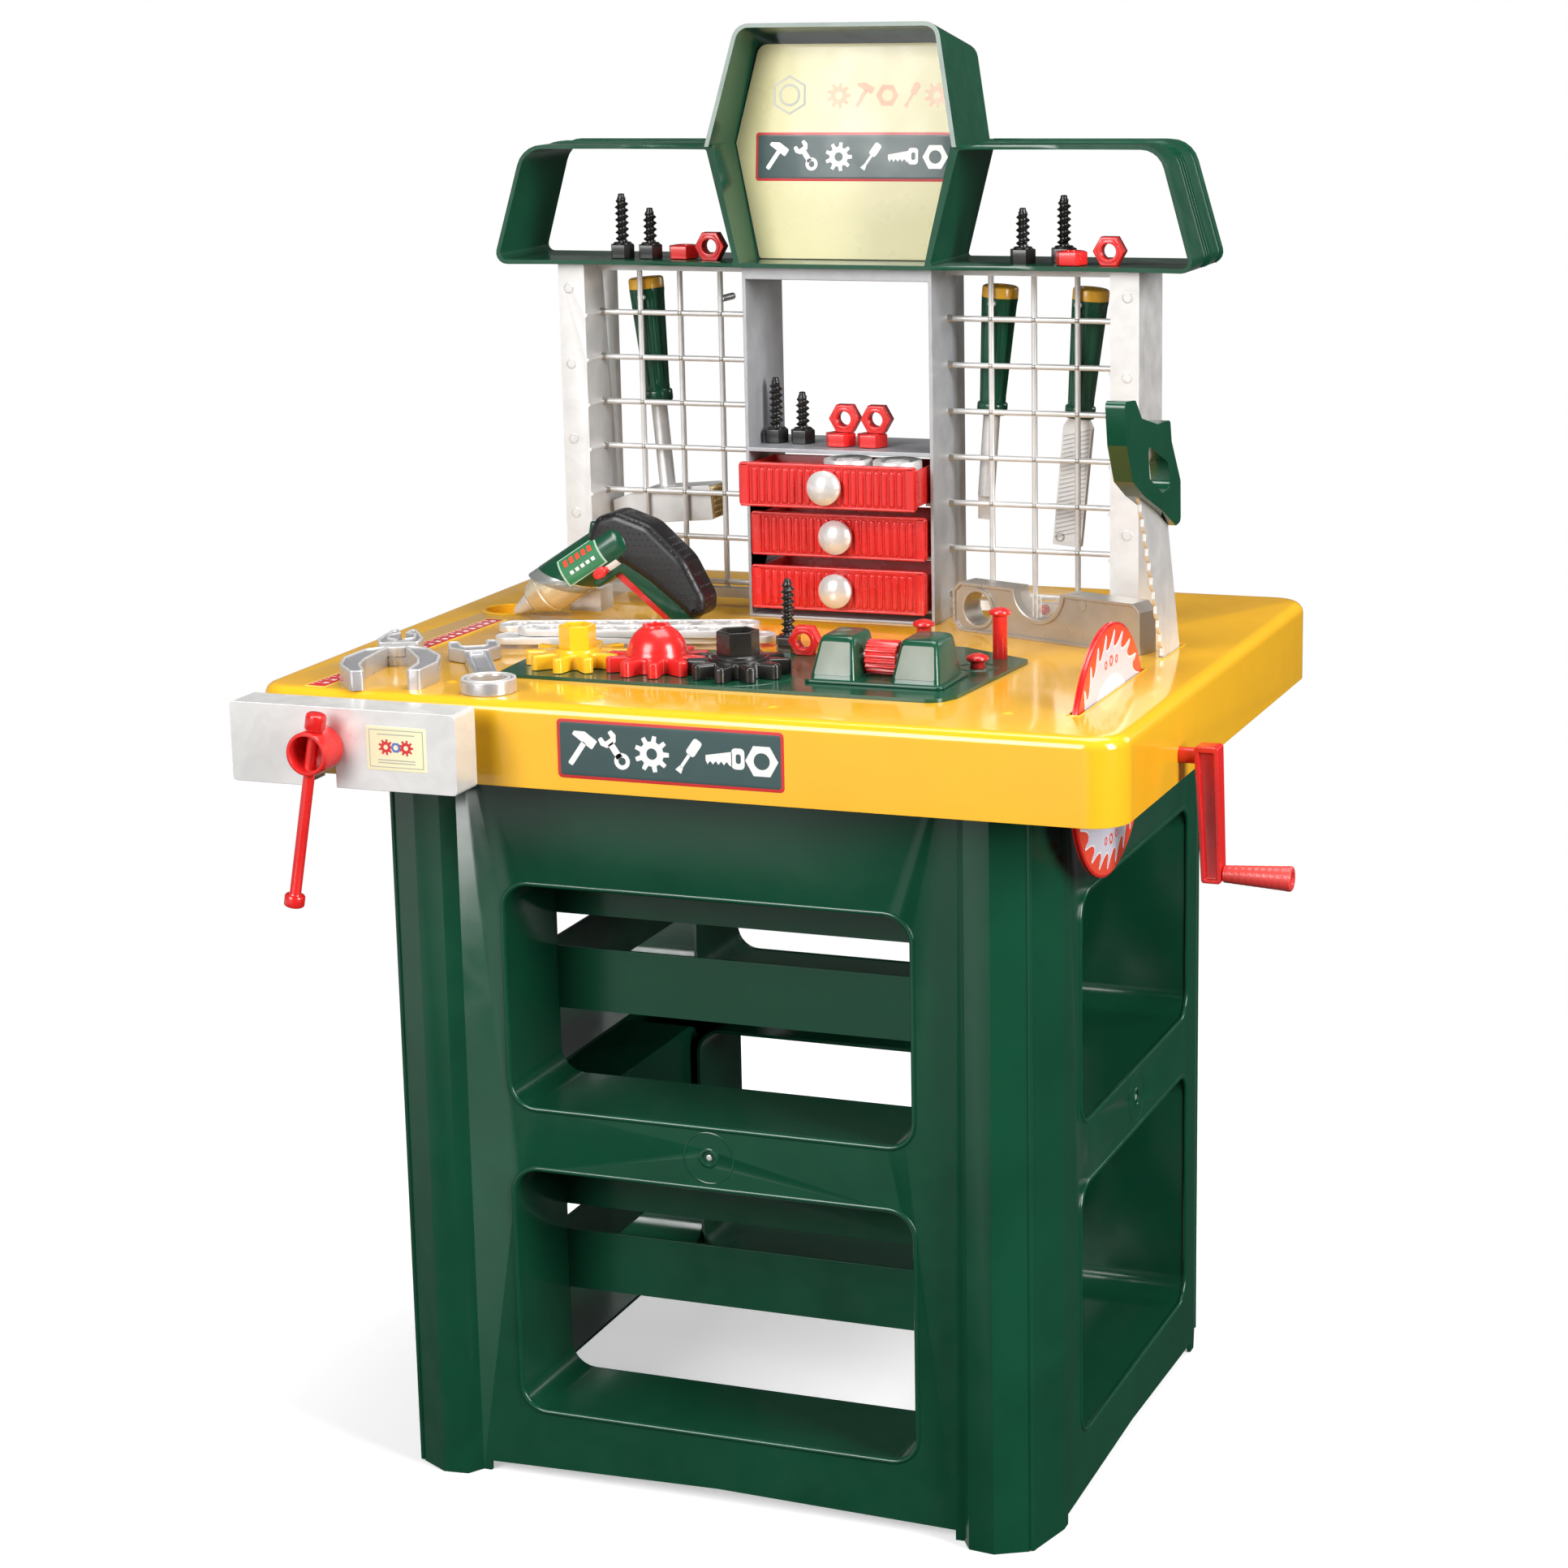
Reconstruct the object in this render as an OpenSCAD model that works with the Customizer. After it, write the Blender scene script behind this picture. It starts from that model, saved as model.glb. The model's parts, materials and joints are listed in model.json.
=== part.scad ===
// Toy workbench: a four-panel base, a skirted table top with working toys on it,
// and a backboard with tool grids, a drawer cabinet and a shelf.
// Millimetres. +X right, +Y back, +Z up. Origin on the floor under the middle of the table.

/* [Table] */
// Width of the table top
table_w = 600; // [590:1:610]
// Depth of the table top
table_d = 498; // [494:1:504]
// Height of the work surface
table_z = 566.5; // [560:0.5:575]
// Height of the skirt round the table top
skirt_h = 56.5; // [50:0.5:60]
// Wall of the moulded shells
wall = 3; // [2.5:0.1:3.5]

/* [Base] */
// Half width between the outer faces of the side panels
base_half_w = 236; // [234:1:238]
// Front face of the base
base_front_y = -197; // [-199:1:-195]
// Back face of the base
base_back_y = 212; // [208:1:216]
// Width of the openings in the front and back panels
opening_w = 290; // [280:1:294]
// Depth of the storage recesses
recess_depth = 82; // [70:1:84]

/* [Backboard] */
// Outer half width of the two posts
post_x = 218; // [214:1:222]
// Front face of the posts
post_y = 79; // [77:1:81]
// Half width of the middle cabinet
cabinet_half_w = 71; // [70:0.5:72]
// Underside of the top shelf
shelf_z = 818; // [817:1:822]

/* [Drawers] */
// Height of a drawer front
drawer_front_h = 31.5; // [30:0.5:33]
// How far the top drawer stands open
top_drawer_open = 22; // [1:1:30]

/* [Gears] */
// Distance between neighbouring gear centres
gear_pitch_d = 58.5; // [58:0.1:60]
// Teeth on each gear
gear_teeth = 10; // [8:1:10]
// Thickness of a gear
gear_t = 10; // [8:0.5:12]

/* [Saw and crank] */
// Radius of the saw disc
disc_r = 83; // [76:1:83]
// Length of the crank between its two axes
crank_len = 77; // [70:1:85]

/* [Vise] */
// Gap between the jaw and the table front
jaw_gap = 17; // [12:1:19]
// Length of the jaw
jaw_len = 164; // [150:1:168]

/* [Hidden] */
$fn = 48;
eps = 0.01;
fit = 0.1;
under_top = table_z - wall;
skirt_z = table_z - skirt_h;
skirt_front = -table_d / 2;
base_mid_y = (base_front_y + base_back_y) / 2;

GREEN = "darkgreen";
YELLOW = "gold";
SILVER = "silver";
RED = "red";
BLACK = "dimgray";

// ---- outline helpers ----
function unit(v) = v / norm(v);
// Points of an arc of radius r round c, from angle a0 to a1
function arc(c, r, a0, a1, n = 6) =
  [for (i = [0:n]) let (a = a0 + (a1 - a0) * i / n) c + r * [cos(a), sin(a)]];
function turn(a) = a > 180 ? a - 360 : (a < -180 ? a + 360 : a);
// One rounded corner at b between a and c
function corner(a, b, c, r, n) =
  let (u = unit(a - b), v = unit(c - b), h = acos(u * v) / 2)
  let (m = b + unit(u + v) * r / sin(h), p = b + u * r / tan(h) - m, q = b + v * r / tan(h) - m)
  let (a0 = atan2(p[1], p[0]), a1 = a0 + turn(atan2(q[1], q[0]) - a0))
  r == 0 ? [b] : arc(m, r, a0, a1, n);
// A closed outline with rounded corners; r is one radius or one for each point
function rounded(P, r, n = 5) = let (k = len(P))
  [for (i = [0:k - 1]) each corner(P[(i + k - 1) % k], P[i], P[(i + 1) % k], is_list(r) ? r[i] : r, n)];
function box_pts(x0, y0, x1, y1) = [[x0, y0], [x1, y0], [x1, y1], [x0, y1]];
function rrect(w, h, r, n = 6) = rounded(box_pts(-w / 2, -h / 2, w / 2, h / 2), r, n);
function left_normal(a, b) = let (d = unit(b - a)) [-d[1], d[0]];
// The open path P moved sideways by t to its left
function beside(P, t) = let (k = len(P))
  [for (i = [0:k - 1])
    let (n0 = left_normal(P[max(i - 1, 0)], P[max(i, 1)]))
    let (n1 = left_normal(P[min(i, k - 2)], P[min(i + 1, k - 1)]), s = n0 + n1)
    P[i] + s * 2 * t / (s * s)];
function backwards(P) = [for (i = [len(P) - 1:-1:0]) P[i]];
function strip(P, t) = concat(P, backwards(beside(P, t)));

// ---- placing helpers ----
// An outline drawn in X and Z, thickened along +Y from y0 by t
module slab_y(pts, y0, t) { translate([0, y0 + t, 0]) rotate([90, 0, 0]) linear_extrude(t) polygon(pts); }
// An outline drawn in Y and Z, thickened along +X from x0 by t
module slab_x(pts, x0, t) { translate([x0, 0, 0]) rotate([90, 0, 90]) linear_extrude(t) polygon(pts); }
module slab_z(pts, z0, t) { translate([0, 0, z0]) linear_extrude(t) polygon(pts); }
module rod_x(x0, x1, y, z, r) { translate([x0, y, z]) rotate([0, 90, 0]) cylinder(h = x1 - x0, r = r); }
module rod_y(y0, y1, x, z, r) { translate([x, y0, z]) rotate([-90, 0, 0]) cylinder(h = y1 - y0, r = r); }
module rod_z(z0, z1, x, y, r) { translate([x, y, z0]) cylinder(h = z1 - z0, r = r); }
module block(x0, y0, z0, x1, y1, z1) { translate([x0, y0, z0]) cube([x1 - x0, y1 - y0, z1 - z0]); }

// ---- base ----
opening_r = 18;
upper_z = [272, 429];
lower_z = [51, 227];
tunnel_t = 2.5;
boss_z = 250;
boss_r = 18;
screw_hole_r = 2.3;
arch_z = 9;
side_opening_y = 14.5;
side_opening_w = 267;
// Heights of the bar and of the band across the back of each recess
upper_bars = [[319, 363], [388, 429]];
lower_bars = [[111, 154], [174, 227]];

// The moved outline of an opening, drawn in X and Z
function opening_pts(w, zz, grow) = [for (p = rrect(w + 2 * grow, zz[1] - zz[0] + 2 * grow,
  opening_r + grow)) p
  + [0, (zz[0] + zz[1]) / 2]];

module recess(w, zz, bars) {
  difference() {
    slab_y(opening_pts(w, zz, tunnel_t), 0, recess_depth);
    slab_y(opening_pts(w, zz, 0), -1, recess_depth + 2);
  }
  intersection() {
    slab_y(opening_pts(w, zz, 1), 0, recess_depth);
    for (b = bars) block(-w, recess_depth - tunnel_t, b[0], w, recess_depth, b[1] + 1);
  }
}

// One panel standing with its flat outer face at y = 0, the recesses behind it;
// path is the wall in plan, flat_half the half length of its flat middle, x_mid the openings' middle,
// bars the number of bars and bands across the back of each recess
module base_panel(path, flat_half, w, x_mid, bars = 2) {
  difference() {
    slab_z(strip(path, wall), 0, under_top);
    slab_y([[-flat_half, -1], [-flat_half, arch_z - 2], [0, arch_z + 2], [flat_half, arch_z - 2],
      [flat_half, -1]],
      -wall, 3 * wall);
    for (zz = [upper_z, lower_z]) translate([x_mid, 0, 0]) slab_y(opening_pts(w, zz, 0), -wall, 3 * wall);
    rod_y(-1, 1, x_mid, boss_z, boss_r / 3);
    rod_y(-1, wall + 1, x_mid, boss_z, screw_hole_r);
  }
  translate([x_mid, 0, 0]) recess(w, upper_z, [for (i = [0:bars - 1]) upper_bars[i]]);
  translate([x_mid, 0, 0]) recess(w, lower_z, [for (i = [0:bars - 1]) lower_bars[i]]);
  difference() {
    rod_y(wall - eps, wall + 8, x_mid, boss_z, boss_r / 2);
    rod_y(wall - 1, wall + 9, x_mid, boss_z, screw_hole_r);
  }
}

column = [[178, 0], [185, -11], [203, -13], [224, -1]];
front_path = concat([for (p = backwards(column)) [-p[0], p[1]]], column);
side_path_half = (base_back_y - base_front_y) / 2 - 2.5;
side_path = [[-side_path_half, 9], [-side_path_half + 36, 0], [side_path_half - 36, 0],
  [side_path_half, 9]];

module front_panel() { color(GREEN) translate([0, base_front_y, 0])
  base_panel(front_path, 172, opening_w, 0); }
module back_panel() {
  color(GREEN) translate([0, base_back_y, 0]) rotate([0, 0, 180])
    base_panel(front_path, 172, opening_w, 0, 1);
}
module right_panel() {
  color(GREEN) translate([base_half_w, base_mid_y, 0]) rotate([0, 0, 90])
    base_panel(side_path, side_path_half - 45, side_opening_w, side_opening_y - base_mid_y);
}
module left_panel() {
  color(GREEN) difference() {
    translate([-base_half_w, base_mid_y, 0]) rotate([0, 0, -90])
      base_panel(side_path, side_path_half - 45, side_opening_w, base_mid_y - side_opening_y);
    rod_z(table_z - cup_depth - 2.6, table_z, cup_at[0], cup_at[1], cup_r + 2.6);
  }
}

// ---- saw, vise and peg places, shared by the table top and the moving pieces ----
saw_y = -112;
saw_z = 528;
disc_x = 250;
disc_t = 4;
axle_r = 5.25;
bracket_x = 242;
screw_x = -221;
screw_z = 540;
screw_r = 7;
guide_x = [-262, -150];
guide_w = 12;
guide_h = 8;
mat_t = 2.5;
mat_top = table_z + mat_t;
peg_places = [[154.9, -37.2], [150.4, -72], [96, -24]];
peg_r = 5;
cup_at = [-252.5, 51];
cup_r = 18;
cup_depth = 14;
hand_saw_x = 256;

module table_corner(r, f) {
  rotate_extrude($fn = 64) polygon(concat([[0, 0], [r, 0]], arc([r - f, skirt_h - f], f, 0, 90, 6),
    [[0, skirt_h]]));
}

module table_top() {
  r = 25;
  color(YELLOW) {
    difference() {
      union() {
        difference() {
          translate([0, 0, skirt_z]) hull()
            for (sx = [-1, 1], sy = [-1, 1])
              translate([sx * (table_w / 2 - r), sy * (table_d / 2 - r), 0]) table_corner(r, 8);
          slab_z(rrect(table_w - 2 * wall, table_d - 2 * wall, r - wall), skirt_z - 1,
            under_top - skirt_z + 1);
        }
        rod_z(table_z - cup_depth - 2, under_top + eps, cup_at[0], cup_at[1], cup_r + 2);
      }
      rod_z(table_z - cup_depth, table_z + 1, cup_at[0], cup_at[1], cup_r);
      block(disc_x - 1.5, saw_y - 76, under_top - 1, disc_x + disc_t + 1.5, saw_y + 76, table_z + 1);
      block(hand_saw_x - 2, 1, under_top - 1, hand_saw_x + 2, 53, table_z + 1);
      for (p = peg_places) rod_z(under_top - 1, table_z + 1, p[0], p[1], peg_r + 1);
      rod_y(skirt_front - 1, skirt_front + wall + 1, screw_x, screw_z, screw_r + fit);
      for (x = guide_x)
        block(x - guide_w / 2 - 0.4, skirt_front - 1, screw_z - guide_h / 2 - 0.4,
          x + guide_w / 2 + 0.4, skirt_front + wall + 1, screw_z + guide_h / 2 + 0.4);
      rod_x(table_w / 2 - wall - 1, table_w / 2 + 1, saw_y, saw_z, axle_r + fit);
    }
    difference() {
      block(bracket_x, saw_y - 15, skirt_z + 4, bracket_x + wall, saw_y + 15, under_top + eps);
      rod_x(bracket_x - 1, bracket_x + wall + 1, saw_y, saw_z, axle_r + fit);
    }
  }
}

// ---- work mat with its gears, roller and pegs ----
gear_y = -135;
gear_x = [-112.5, -112.5 + gear_pitch_d, -112.5 + 2 * gear_pitch_d];
gear_z = mat_top + 0.5;
gear_pin_r = 4;
roller_x = [92.2, 113.8];
roller_y = -121;
roller_z = 583;
roller_r = 11.5;
roller_pin_r = 2.5;
platform_z = mat_top + 2;
housing_top = 598;

module work_mat() {
  outline = rounded([[-153.5, -178], [158, -178], [166, -160], [176, -38], [120, -8], [74, -8], [34, -56],
    [-158, -76]],
    [4, 14, 14, 7, 10, 10, 20, 4]);
  color(GREEN) difference() {
    slab_z(outline, table_z, mat_t);
    for (p = peg_places) rod_z(table_z - 1, mat_top + 1, p[0], p[1], peg_r + fit);
  }
}

// One housing block: x0..x1 at its foot, drawn in by 4 mm at its top
module housing(x0, x1) {
  intersection() {
    slab_y(rounded([[x0, platform_z - eps], [x1, platform_z - eps], [x1 - 5, housing_top],
      [x0 + 4, housing_top]],
      [0, 0, 3, 3]), -147, 47);
    slab_x(rounded([[-147, platform_z - eps], [-99, platform_z - eps], [-101, housing_top],
      [-135, housing_top]],
      [0, 0, 3, 3]), x0, x1 - x0);
  }
}

module roller_housings() {
  color(GREEN) difference() {
    union() {
      slab_z(rounded(box_pts(56, -151, 153, -96), 4), mat_top, platform_z - mat_top);
      housing(59, 91);
      housing(115, 149);
    }
    rod_x(78, 128, roller_y, roller_z, roller_pin_r);
  }
}

module roller_pin() { color(SILVER) rod_x(78, 128, roller_y, roller_z, roller_pin_r); }

// A wheel outline with n ridges between the radii r0 and r1
function ridged(n, r0, r1) = [for (i = [0:n - 1]) let (s = 360 / n, a = i * s)
  each [r0 * [cos(a), sin(a)], r1 * [cos(a + 0.25 * s), sin(a + 0.25 * s)],
    r1 * [cos(a + 0.6 * s), sin(a + 0.6 * s)], r0 * [cos(a + 0.85 * s), sin(a + 0.85 * s)]]];

module ridged_roller() {
  color(RED) difference() {
    translate([0, roller_y, roller_z]) slab_x(ridged(18, roller_r - 1.6, roller_r), roller_x[0],
      roller_x[1] - roller_x[0]);
    rod_x(roller_x[0] - 1, roller_x[1] + 1, roller_y, roller_z, roller_pin_r + fit);
  }
}

module peg(i, top_z) {
  head_r = 7.75;
  shaft_len = 38;
  color(RED) translate([peg_places[i][0], peg_places[i][1], top_z]) rotate_extrude()
    polygon(concat([[0, -shaft_len], [peg_r, -shaft_len], [peg_r, -5], [head_r - 1, -4.6], [head_r, -3.6]],
      arc([0, -12.85], 12.85, 53, 90, 5)));
}
module peg_tall() { peg(0, mat_top + 34.5); }
module peg_low() { peg(1, mat_top + 9.5); }
module peg_rear() { peg(2, mat_top + 21); }

tooth_out_r = 35.2;
tooth_root_r = 22;
tooth_pts = rounded([[tooth_root_r - 1, -4.4], [tooth_out_r, -3.1], [tooth_out_r, 3.1],
  [tooth_root_r - 1, 4.4]],
  [0, 2.6, 2.6, 0], 4);
// One gear outline: straight round-ended teeth; phase turns it
function gear_pts(phase) = [for (i = [0:gear_teeth - 1])
  let (a = phase + i * 360 / gear_teeth, h = 180 / gear_teeth)
  each concat([tooth_root_r * [cos(a - h), sin(a - h)]],
    [for (p = tooth_pts) [p[0] * cos(a) - p[1] * sin(a), p[0] * sin(a) + p[1] * cos(a)]])];

module gear_disc(i, phase) { translate([gear_x[i], gear_y, 0]) slab_z(gear_pts(phase), gear_z, gear_t); }
module gear_bore(i) { rod_z(gear_z - 1, gear_z + gear_t + 5, gear_x[i], gear_y, gear_pin_r + fit); }
module hex_post(i, r, h) {
  translate([gear_x[i], gear_y, gear_z + gear_t - eps]) difference() {
    rotate([0, 0, 30]) cylinder(h = h, r = r, $fn = 6);
    translate([0, 0, h - 6]) rotate([0, 0, 30]) cylinder(h = 7, r = r - 2.6, $fn = 6);
  }
}
module gear_yellow() {
  color(YELLOW) difference() {
    union() {
      gear_disc(0, 18);
      hex_post(0, 12.6, 17);
    }
    gear_bore(0);
  }
}
module gear_black() {
  color(BLACK) difference() {
    union() {
      gear_disc(2, 18);
      hex_post(2, 14.4, 19);
    }
    gear_bore(2);
  }
}
module gear_red() {
  dome_r = 20.5;
  color(RED) difference() {
    union() {
      gear_disc(1, 0);
      translate([gear_x[1], gear_y, gear_z + gear_t - eps]) rotate_extrude()
        polygon(concat([[0, 0]], arc([0, 0], dome_r, 0, 66, 8), [[0, dome_r * sin(66)]]));
      rod_z(gear_z + gear_t - eps, gear_z + gear_t + 3, gear_x[1], gear_y, dome_r);
    }
    gear_bore(1);
    translate([gear_x[1], gear_y, gear_z + gear_t + 12]) cylinder(h = 9, r = 6, $fn = 6);
  }
}
module gear_pins() {
  color(SILVER) for (x = gear_x) {
    rod_z(mat_top, gear_z + gear_t + 4, x, gear_y, gear_pin_r);
  }
}

// ---- saw disc and crank ----
arm_top_z = saw_z + 7.5;
arm_y = [saw_y - 7.5, saw_y + 7.5];
arm_x = table_w / 2 + 11;
grip_z = saw_z - crank_len;
grip_len = 45;
grip_x = arm_x + 18.8;

module saw_disc() {
  color(RED) difference() {
    rod_x(disc_x, disc_x + disc_t, saw_y, saw_z, disc_r, $fn = 96);
    rod_x(disc_x - 1, disc_x + disc_t + 1, saw_y, saw_z, axle_r);
  }
}
module saw_axle() { color(RED) rod_x(bracket_x - 2, arm_x, saw_y, saw_z, axle_r); }
module crank_arm() {
  low_z = grip_z - 5.5;
  color(RED) {
    difference() {
      slab_y(rounded([[arm_x, arm_top_z], [arm_x + 5.5, low_z], [grip_x - 0.3, low_z],
        [arm_x + 16, arm_top_z]],
        [2, 2, 2, 2]), arm_y[0], arm_y[1] - arm_y[0]);
      slab_y([[arm_x + 3.2, arm_top_z - 4], [arm_x + 8.4, low_z + 2.5], [grip_x - 3.4, low_z + 2.5],
        [arm_x + 13, arm_top_z - 4]],
        arm_y[0] - 1, 4);
    }
    rod_x(grip_x - 3.4, grip_x + grip_len - 3, saw_y, grip_z, 3);
  }
}
module crank_grip() {
  color(RED) translate([grip_x, saw_y, grip_z]) rotate([0, 90, 0]) difference() {
    rotate_extrude() polygon([[0, 0], [5.6, 0], [8.3, grip_len - 2], [7.3, grip_len], [0, grip_len]]);
    translate([0, 0, -1]) cylinder(h = grip_len - 1.9, r = 3 + fit);
  }
}

// ---- vise ----
jaw_back = skirt_front - jaw_gap;
jaw_t = 29;
jaw_front = jaw_back - jaw_t;
jaw_x = -126 - jaw_len;
jaw_z = [513, table_z - 0.3];
knob_len = 25;
knob_r = 14.5;
bar_lean = 10.5;
bar_y = jaw_front - 16.5;
bar_r = 3.8;

module vise_jaw() {
  color(SILVER) difference() {
    slab_y(rounded(box_pts(jaw_x, jaw_z[0], jaw_x + jaw_len, jaw_z[1]), 3), jaw_front, jaw_t);
    difference() {
      block(jaw_x + wall, jaw_front + wall, jaw_z[0] + wall, jaw_x + jaw_len - wall, jaw_back + 1,
        jaw_z[1] - wall);
      for (x = guide_x)
        block(x - guide_w / 2 - 2, jaw_front, screw_z - guide_h / 2 - 2, x + guide_w / 2 + 2, jaw_back + 2,
          screw_z + guide_h / 2 + 2);
    }
    for (x = guide_x)
      block(x - guide_w / 2, jaw_front + 10, screw_z - guide_h / 2, x + guide_w / 2, jaw_back + 1,
        screw_z + guide_h / 2);
    block(screw_x - 16.5, jaw_front - 1, jaw_z[0] - 1, screw_x + 7.5, jaw_back + 1, jaw_z[0] + 14);
    rod_y(jaw_front - 1, jaw_front + wall + 1, screw_x, screw_z, screw_r + fit);
  }
}
module vise_guides() {
  color(SILVER) for (x = guide_x)
    block(x - guide_w / 2, jaw_front + 10, screw_z - guide_h / 2, x + guide_w / 2, skirt_front + 29,
      screw_z + guide_h / 2);
}
module vise_screw() {
  color(RED) difference() {
    union() {
      rod_y(jaw_front - knob_len - 0.4, jaw_front - 0.4, screw_x, screw_z, knob_r);
      rod_y(jaw_front - 2, skirt_front + 15, screw_x, screw_z, screw_r);
    }
    rod_y(jaw_front - knob_len - 1, jaw_front - 4, screw_x, screw_z, knob_r - 2.8);
    translate([screw_x, bar_y, screw_z]) rotate([0, bar_lean, 0]) rod_z(-20, 20, 0, 0, bar_r + fit);
  }
}
module vise_bar() {
  bar_len = 132;
  cap_r = 6.8;
  top = 25.9;
  color(RED) translate([screw_x, bar_y, screw_z]) rotate([0, bar_lean, 0]) {
    rod_z(top - bar_len, top, 0, 0, bar_r);
    rod_z(top - 11, top, 0, 0, cap_r);
    rod_z(top - bar_len, top - bar_len + 8, 0, 0, cap_r);
  }
}

// ---- backboard ----
cabinet_y = [71, 142];
board_top = shelf_z;
post_inner = 197.5;
post_back = 138;
grid_y = 107;
bar_pitch_x = (post_inner - cabinet_half_w) / 4;
bar_pitch_z = 32.7;
grid_top = board_top - 5;
wire_r = 2;
tool_peg_z = 791;
tool_peg_r = 2.5;

// The right-hand frame; the left one is its mirror image. hooks are the bars that carry a tool peg
module grid_frame(hooks) {
  color(SILVER) {
    slab_z(strip([[post_inner, post_back], [post_inner, post_y], [post_x, post_y], [post_x, post_back]],
      2.5),
      table_z, board_top - table_z);
    block(183, 58, table_z, 208, 80, table_z + 17);
    for (z = [table_z + 6.5, board_top - 7])
      block(cabinet_half_w, grid_y - 3.5, z, post_inner + eps, grid_y + 3.5, z + 7);
    for (i = [1:3])
      rod_z(table_z + 8, board_top - 2, cabinet_half_w + i * bar_pitch_x, grid_y, wire_r);
    for (i = [1:7])
      rod_x(cabinet_half_w, post_inner + 1, grid_y, grid_top - i * bar_pitch_z, wire_r);
    for (i = [1:7])
      block(post_inner - 1.2, post_y, grid_top - i * bar_pitch_z - 1.2, post_inner + eps, grid_y,
        grid_top - i * bar_pitch_z + 1.2);
    for (i = hooks) rod_y(grid_y, grid_y + 23, cabinet_half_w + i * bar_pitch_x, tool_peg_z, tool_peg_r);
  }
}
module right_grid_frame() { grid_frame([1, 3]); }
module left_grid_frame() { mirror([1, 0, 0]) grid_frame([1, 3]); }

// ---- drawer cabinet and drawers ----
cab_wall = 2.5;
bay_top = 686.5;
drawer_z = [667, 628.5, 590];
drawer_open = [top_drawer_open, 1, 2.5];
front_t = 4;
drawer_half_w = 66.75;
body_half_w = 65.6;
body_len = 62;
body_low = 13;
body_high = 12.5;

module drawer_cabinet() {
  y0 = cabinet_y[0];
  y1 = cabinet_y[1];
  inner = cabinet_half_w - cab_wall;
  color(SILVER) {
    for (s = [-1, 1]) {
      block(s > 0 ? inner : -cabinet_half_w, y0, table_z, s > 0 ? cabinet_half_w : -inner, y1, board_top);
      for (z = drawer_z) translate([s * (inner - 2), 0, 0])
        block(-2, y0 + 1, z - body_low - 2.3, 2, y1, z - body_low - 0.3);
    }
    block(-inner, y0, bay_top, inner, y1, bay_top + 3);
    block(-inner, y0, table_z, inner, y1, table_z + 2);
    block(-inner, y0, board_top - 9, inner, y0 + 4, board_top);
    block(-inner, y1 - 4, board_top - 9, inner, y1, board_top);
  }
}

module drawer(i) {
  z = drawer_z[i];
  y = cabinet_y[0] - drawer_open[i];
  color(RED) {
    difference() {
      slab_y(rounded(box_pts(-drawer_half_w, z - drawer_front_h / 2, drawer_half_w,
        z + drawer_front_h / 2), 3),
        y - front_t, front_t);
      rod_y(y - front_t - 1, y + 1, 0, z, 3);
    }
    difference() {
      block(-body_half_w, y - eps, z - body_low, body_half_w, y + body_len, z + body_high);
      block(-body_half_w + 2, y, z - body_low + 2, body_half_w - 2, y + body_len - 2, z + body_high + 1);
    }
  }
}
module knob(i) {
  y = cabinet_y[0] - drawer_open[i] - front_t;
  color(SILVER) translate([0, y, drawer_z[i]]) rotate([90, 0, 0]) {
    rotate_extrude() polygon(concat([[0, 0.2], [9, 0.2]], arc([4.25, 4.5], 8, -20, 10, 3),
      arc([0, -4], 16.2, 38, 90, 6)));
    translate([0, 0, -front_t]) cylinder(h = front_t + 1, r = 3);
  }
}
module drawer_top() { drawer(0); }
module drawer_middle() { drawer(1); }
module drawer_bottom() { drawer(2); }
module knob_top() { knob(0); }
module knob_middle() { knob(1); }
module knob_bottom() { knob(2); }

// Loose wheels standing in the top drawer
washer_h = 28.5;
module drawer_washers() {
  z = drawer_z[0] - body_low + 2;
  y = cabinet_y[0] - drawer_open[0];
  color(SILVER) for (x = [8, 45]) translate([x, y + 20, z]) difference() {
    cylinder(h = washer_h, r = 17.5);
    translate([0, 0, -1]) cylinder(h = washer_h + 2, r = 5);
  }
}

// ---- top shelf ----
shelf_y = [62, 146];
shelf_mid_y = 104;
shelf_t = 3;
lean = 12;
hex_z = 902;
hex_top_z = 979;
wing_top_z = 903;
hex_low_x = 71;
hex_mid_x = 91;
hex_top_x = 75;

// The whole front outline up to the height of the wings
wings_outer = let (w = [[-262, shelf_z], [262, shelf_z], [237, wing_top_z], [-237, wing_top_z]])
  rounded(w, [8, 8, 20, 20]);
// The clear space of the right wing
wing_window = rounded([[hex_low_x + 2, shelf_z + shelf_t], [258, shelf_z + shelf_t],
  [235, wing_top_z - shelf_t],
  [hex_mid_x + 2.5, wing_top_z - shelf_t]], [2, 5, 17, 2]);
hex_window_low = [[-hex_low_x + 2, shelf_z + shelf_t], [hex_low_x - 2, shelf_z + shelf_t],
  [hex_mid_x - 2.5, wing_top_z + 1], [-hex_mid_x + 2.5, wing_top_z + 1]];

module hex_roof(y0, y1) {
  translate([0, shelf_mid_y, hex_z]) rotate([-lean, 0, 0])
    translate([0, -shelf_mid_y, -hex_z]) difference() {
    slab_y(rounded([[-hex_mid_x - 3, hex_z - 12], [hex_mid_x + 3, hex_z - 12], [hex_top_x, hex_top_z],
      [-hex_top_x, hex_top_z]], [0, 0, 12, 12]), y0, y1 - y0);
    slab_y(rounded([[-hex_mid_x, hex_z - 13], [hex_mid_x, hex_z - 13],
      [hex_top_x - 2.6, hex_top_z - shelf_t],
      [-hex_top_x + 2.6, hex_top_z - shelf_t]], [0, 0, 9, 9]), y0 - 1, y1 - y0 + 2);
  }
}

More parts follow.
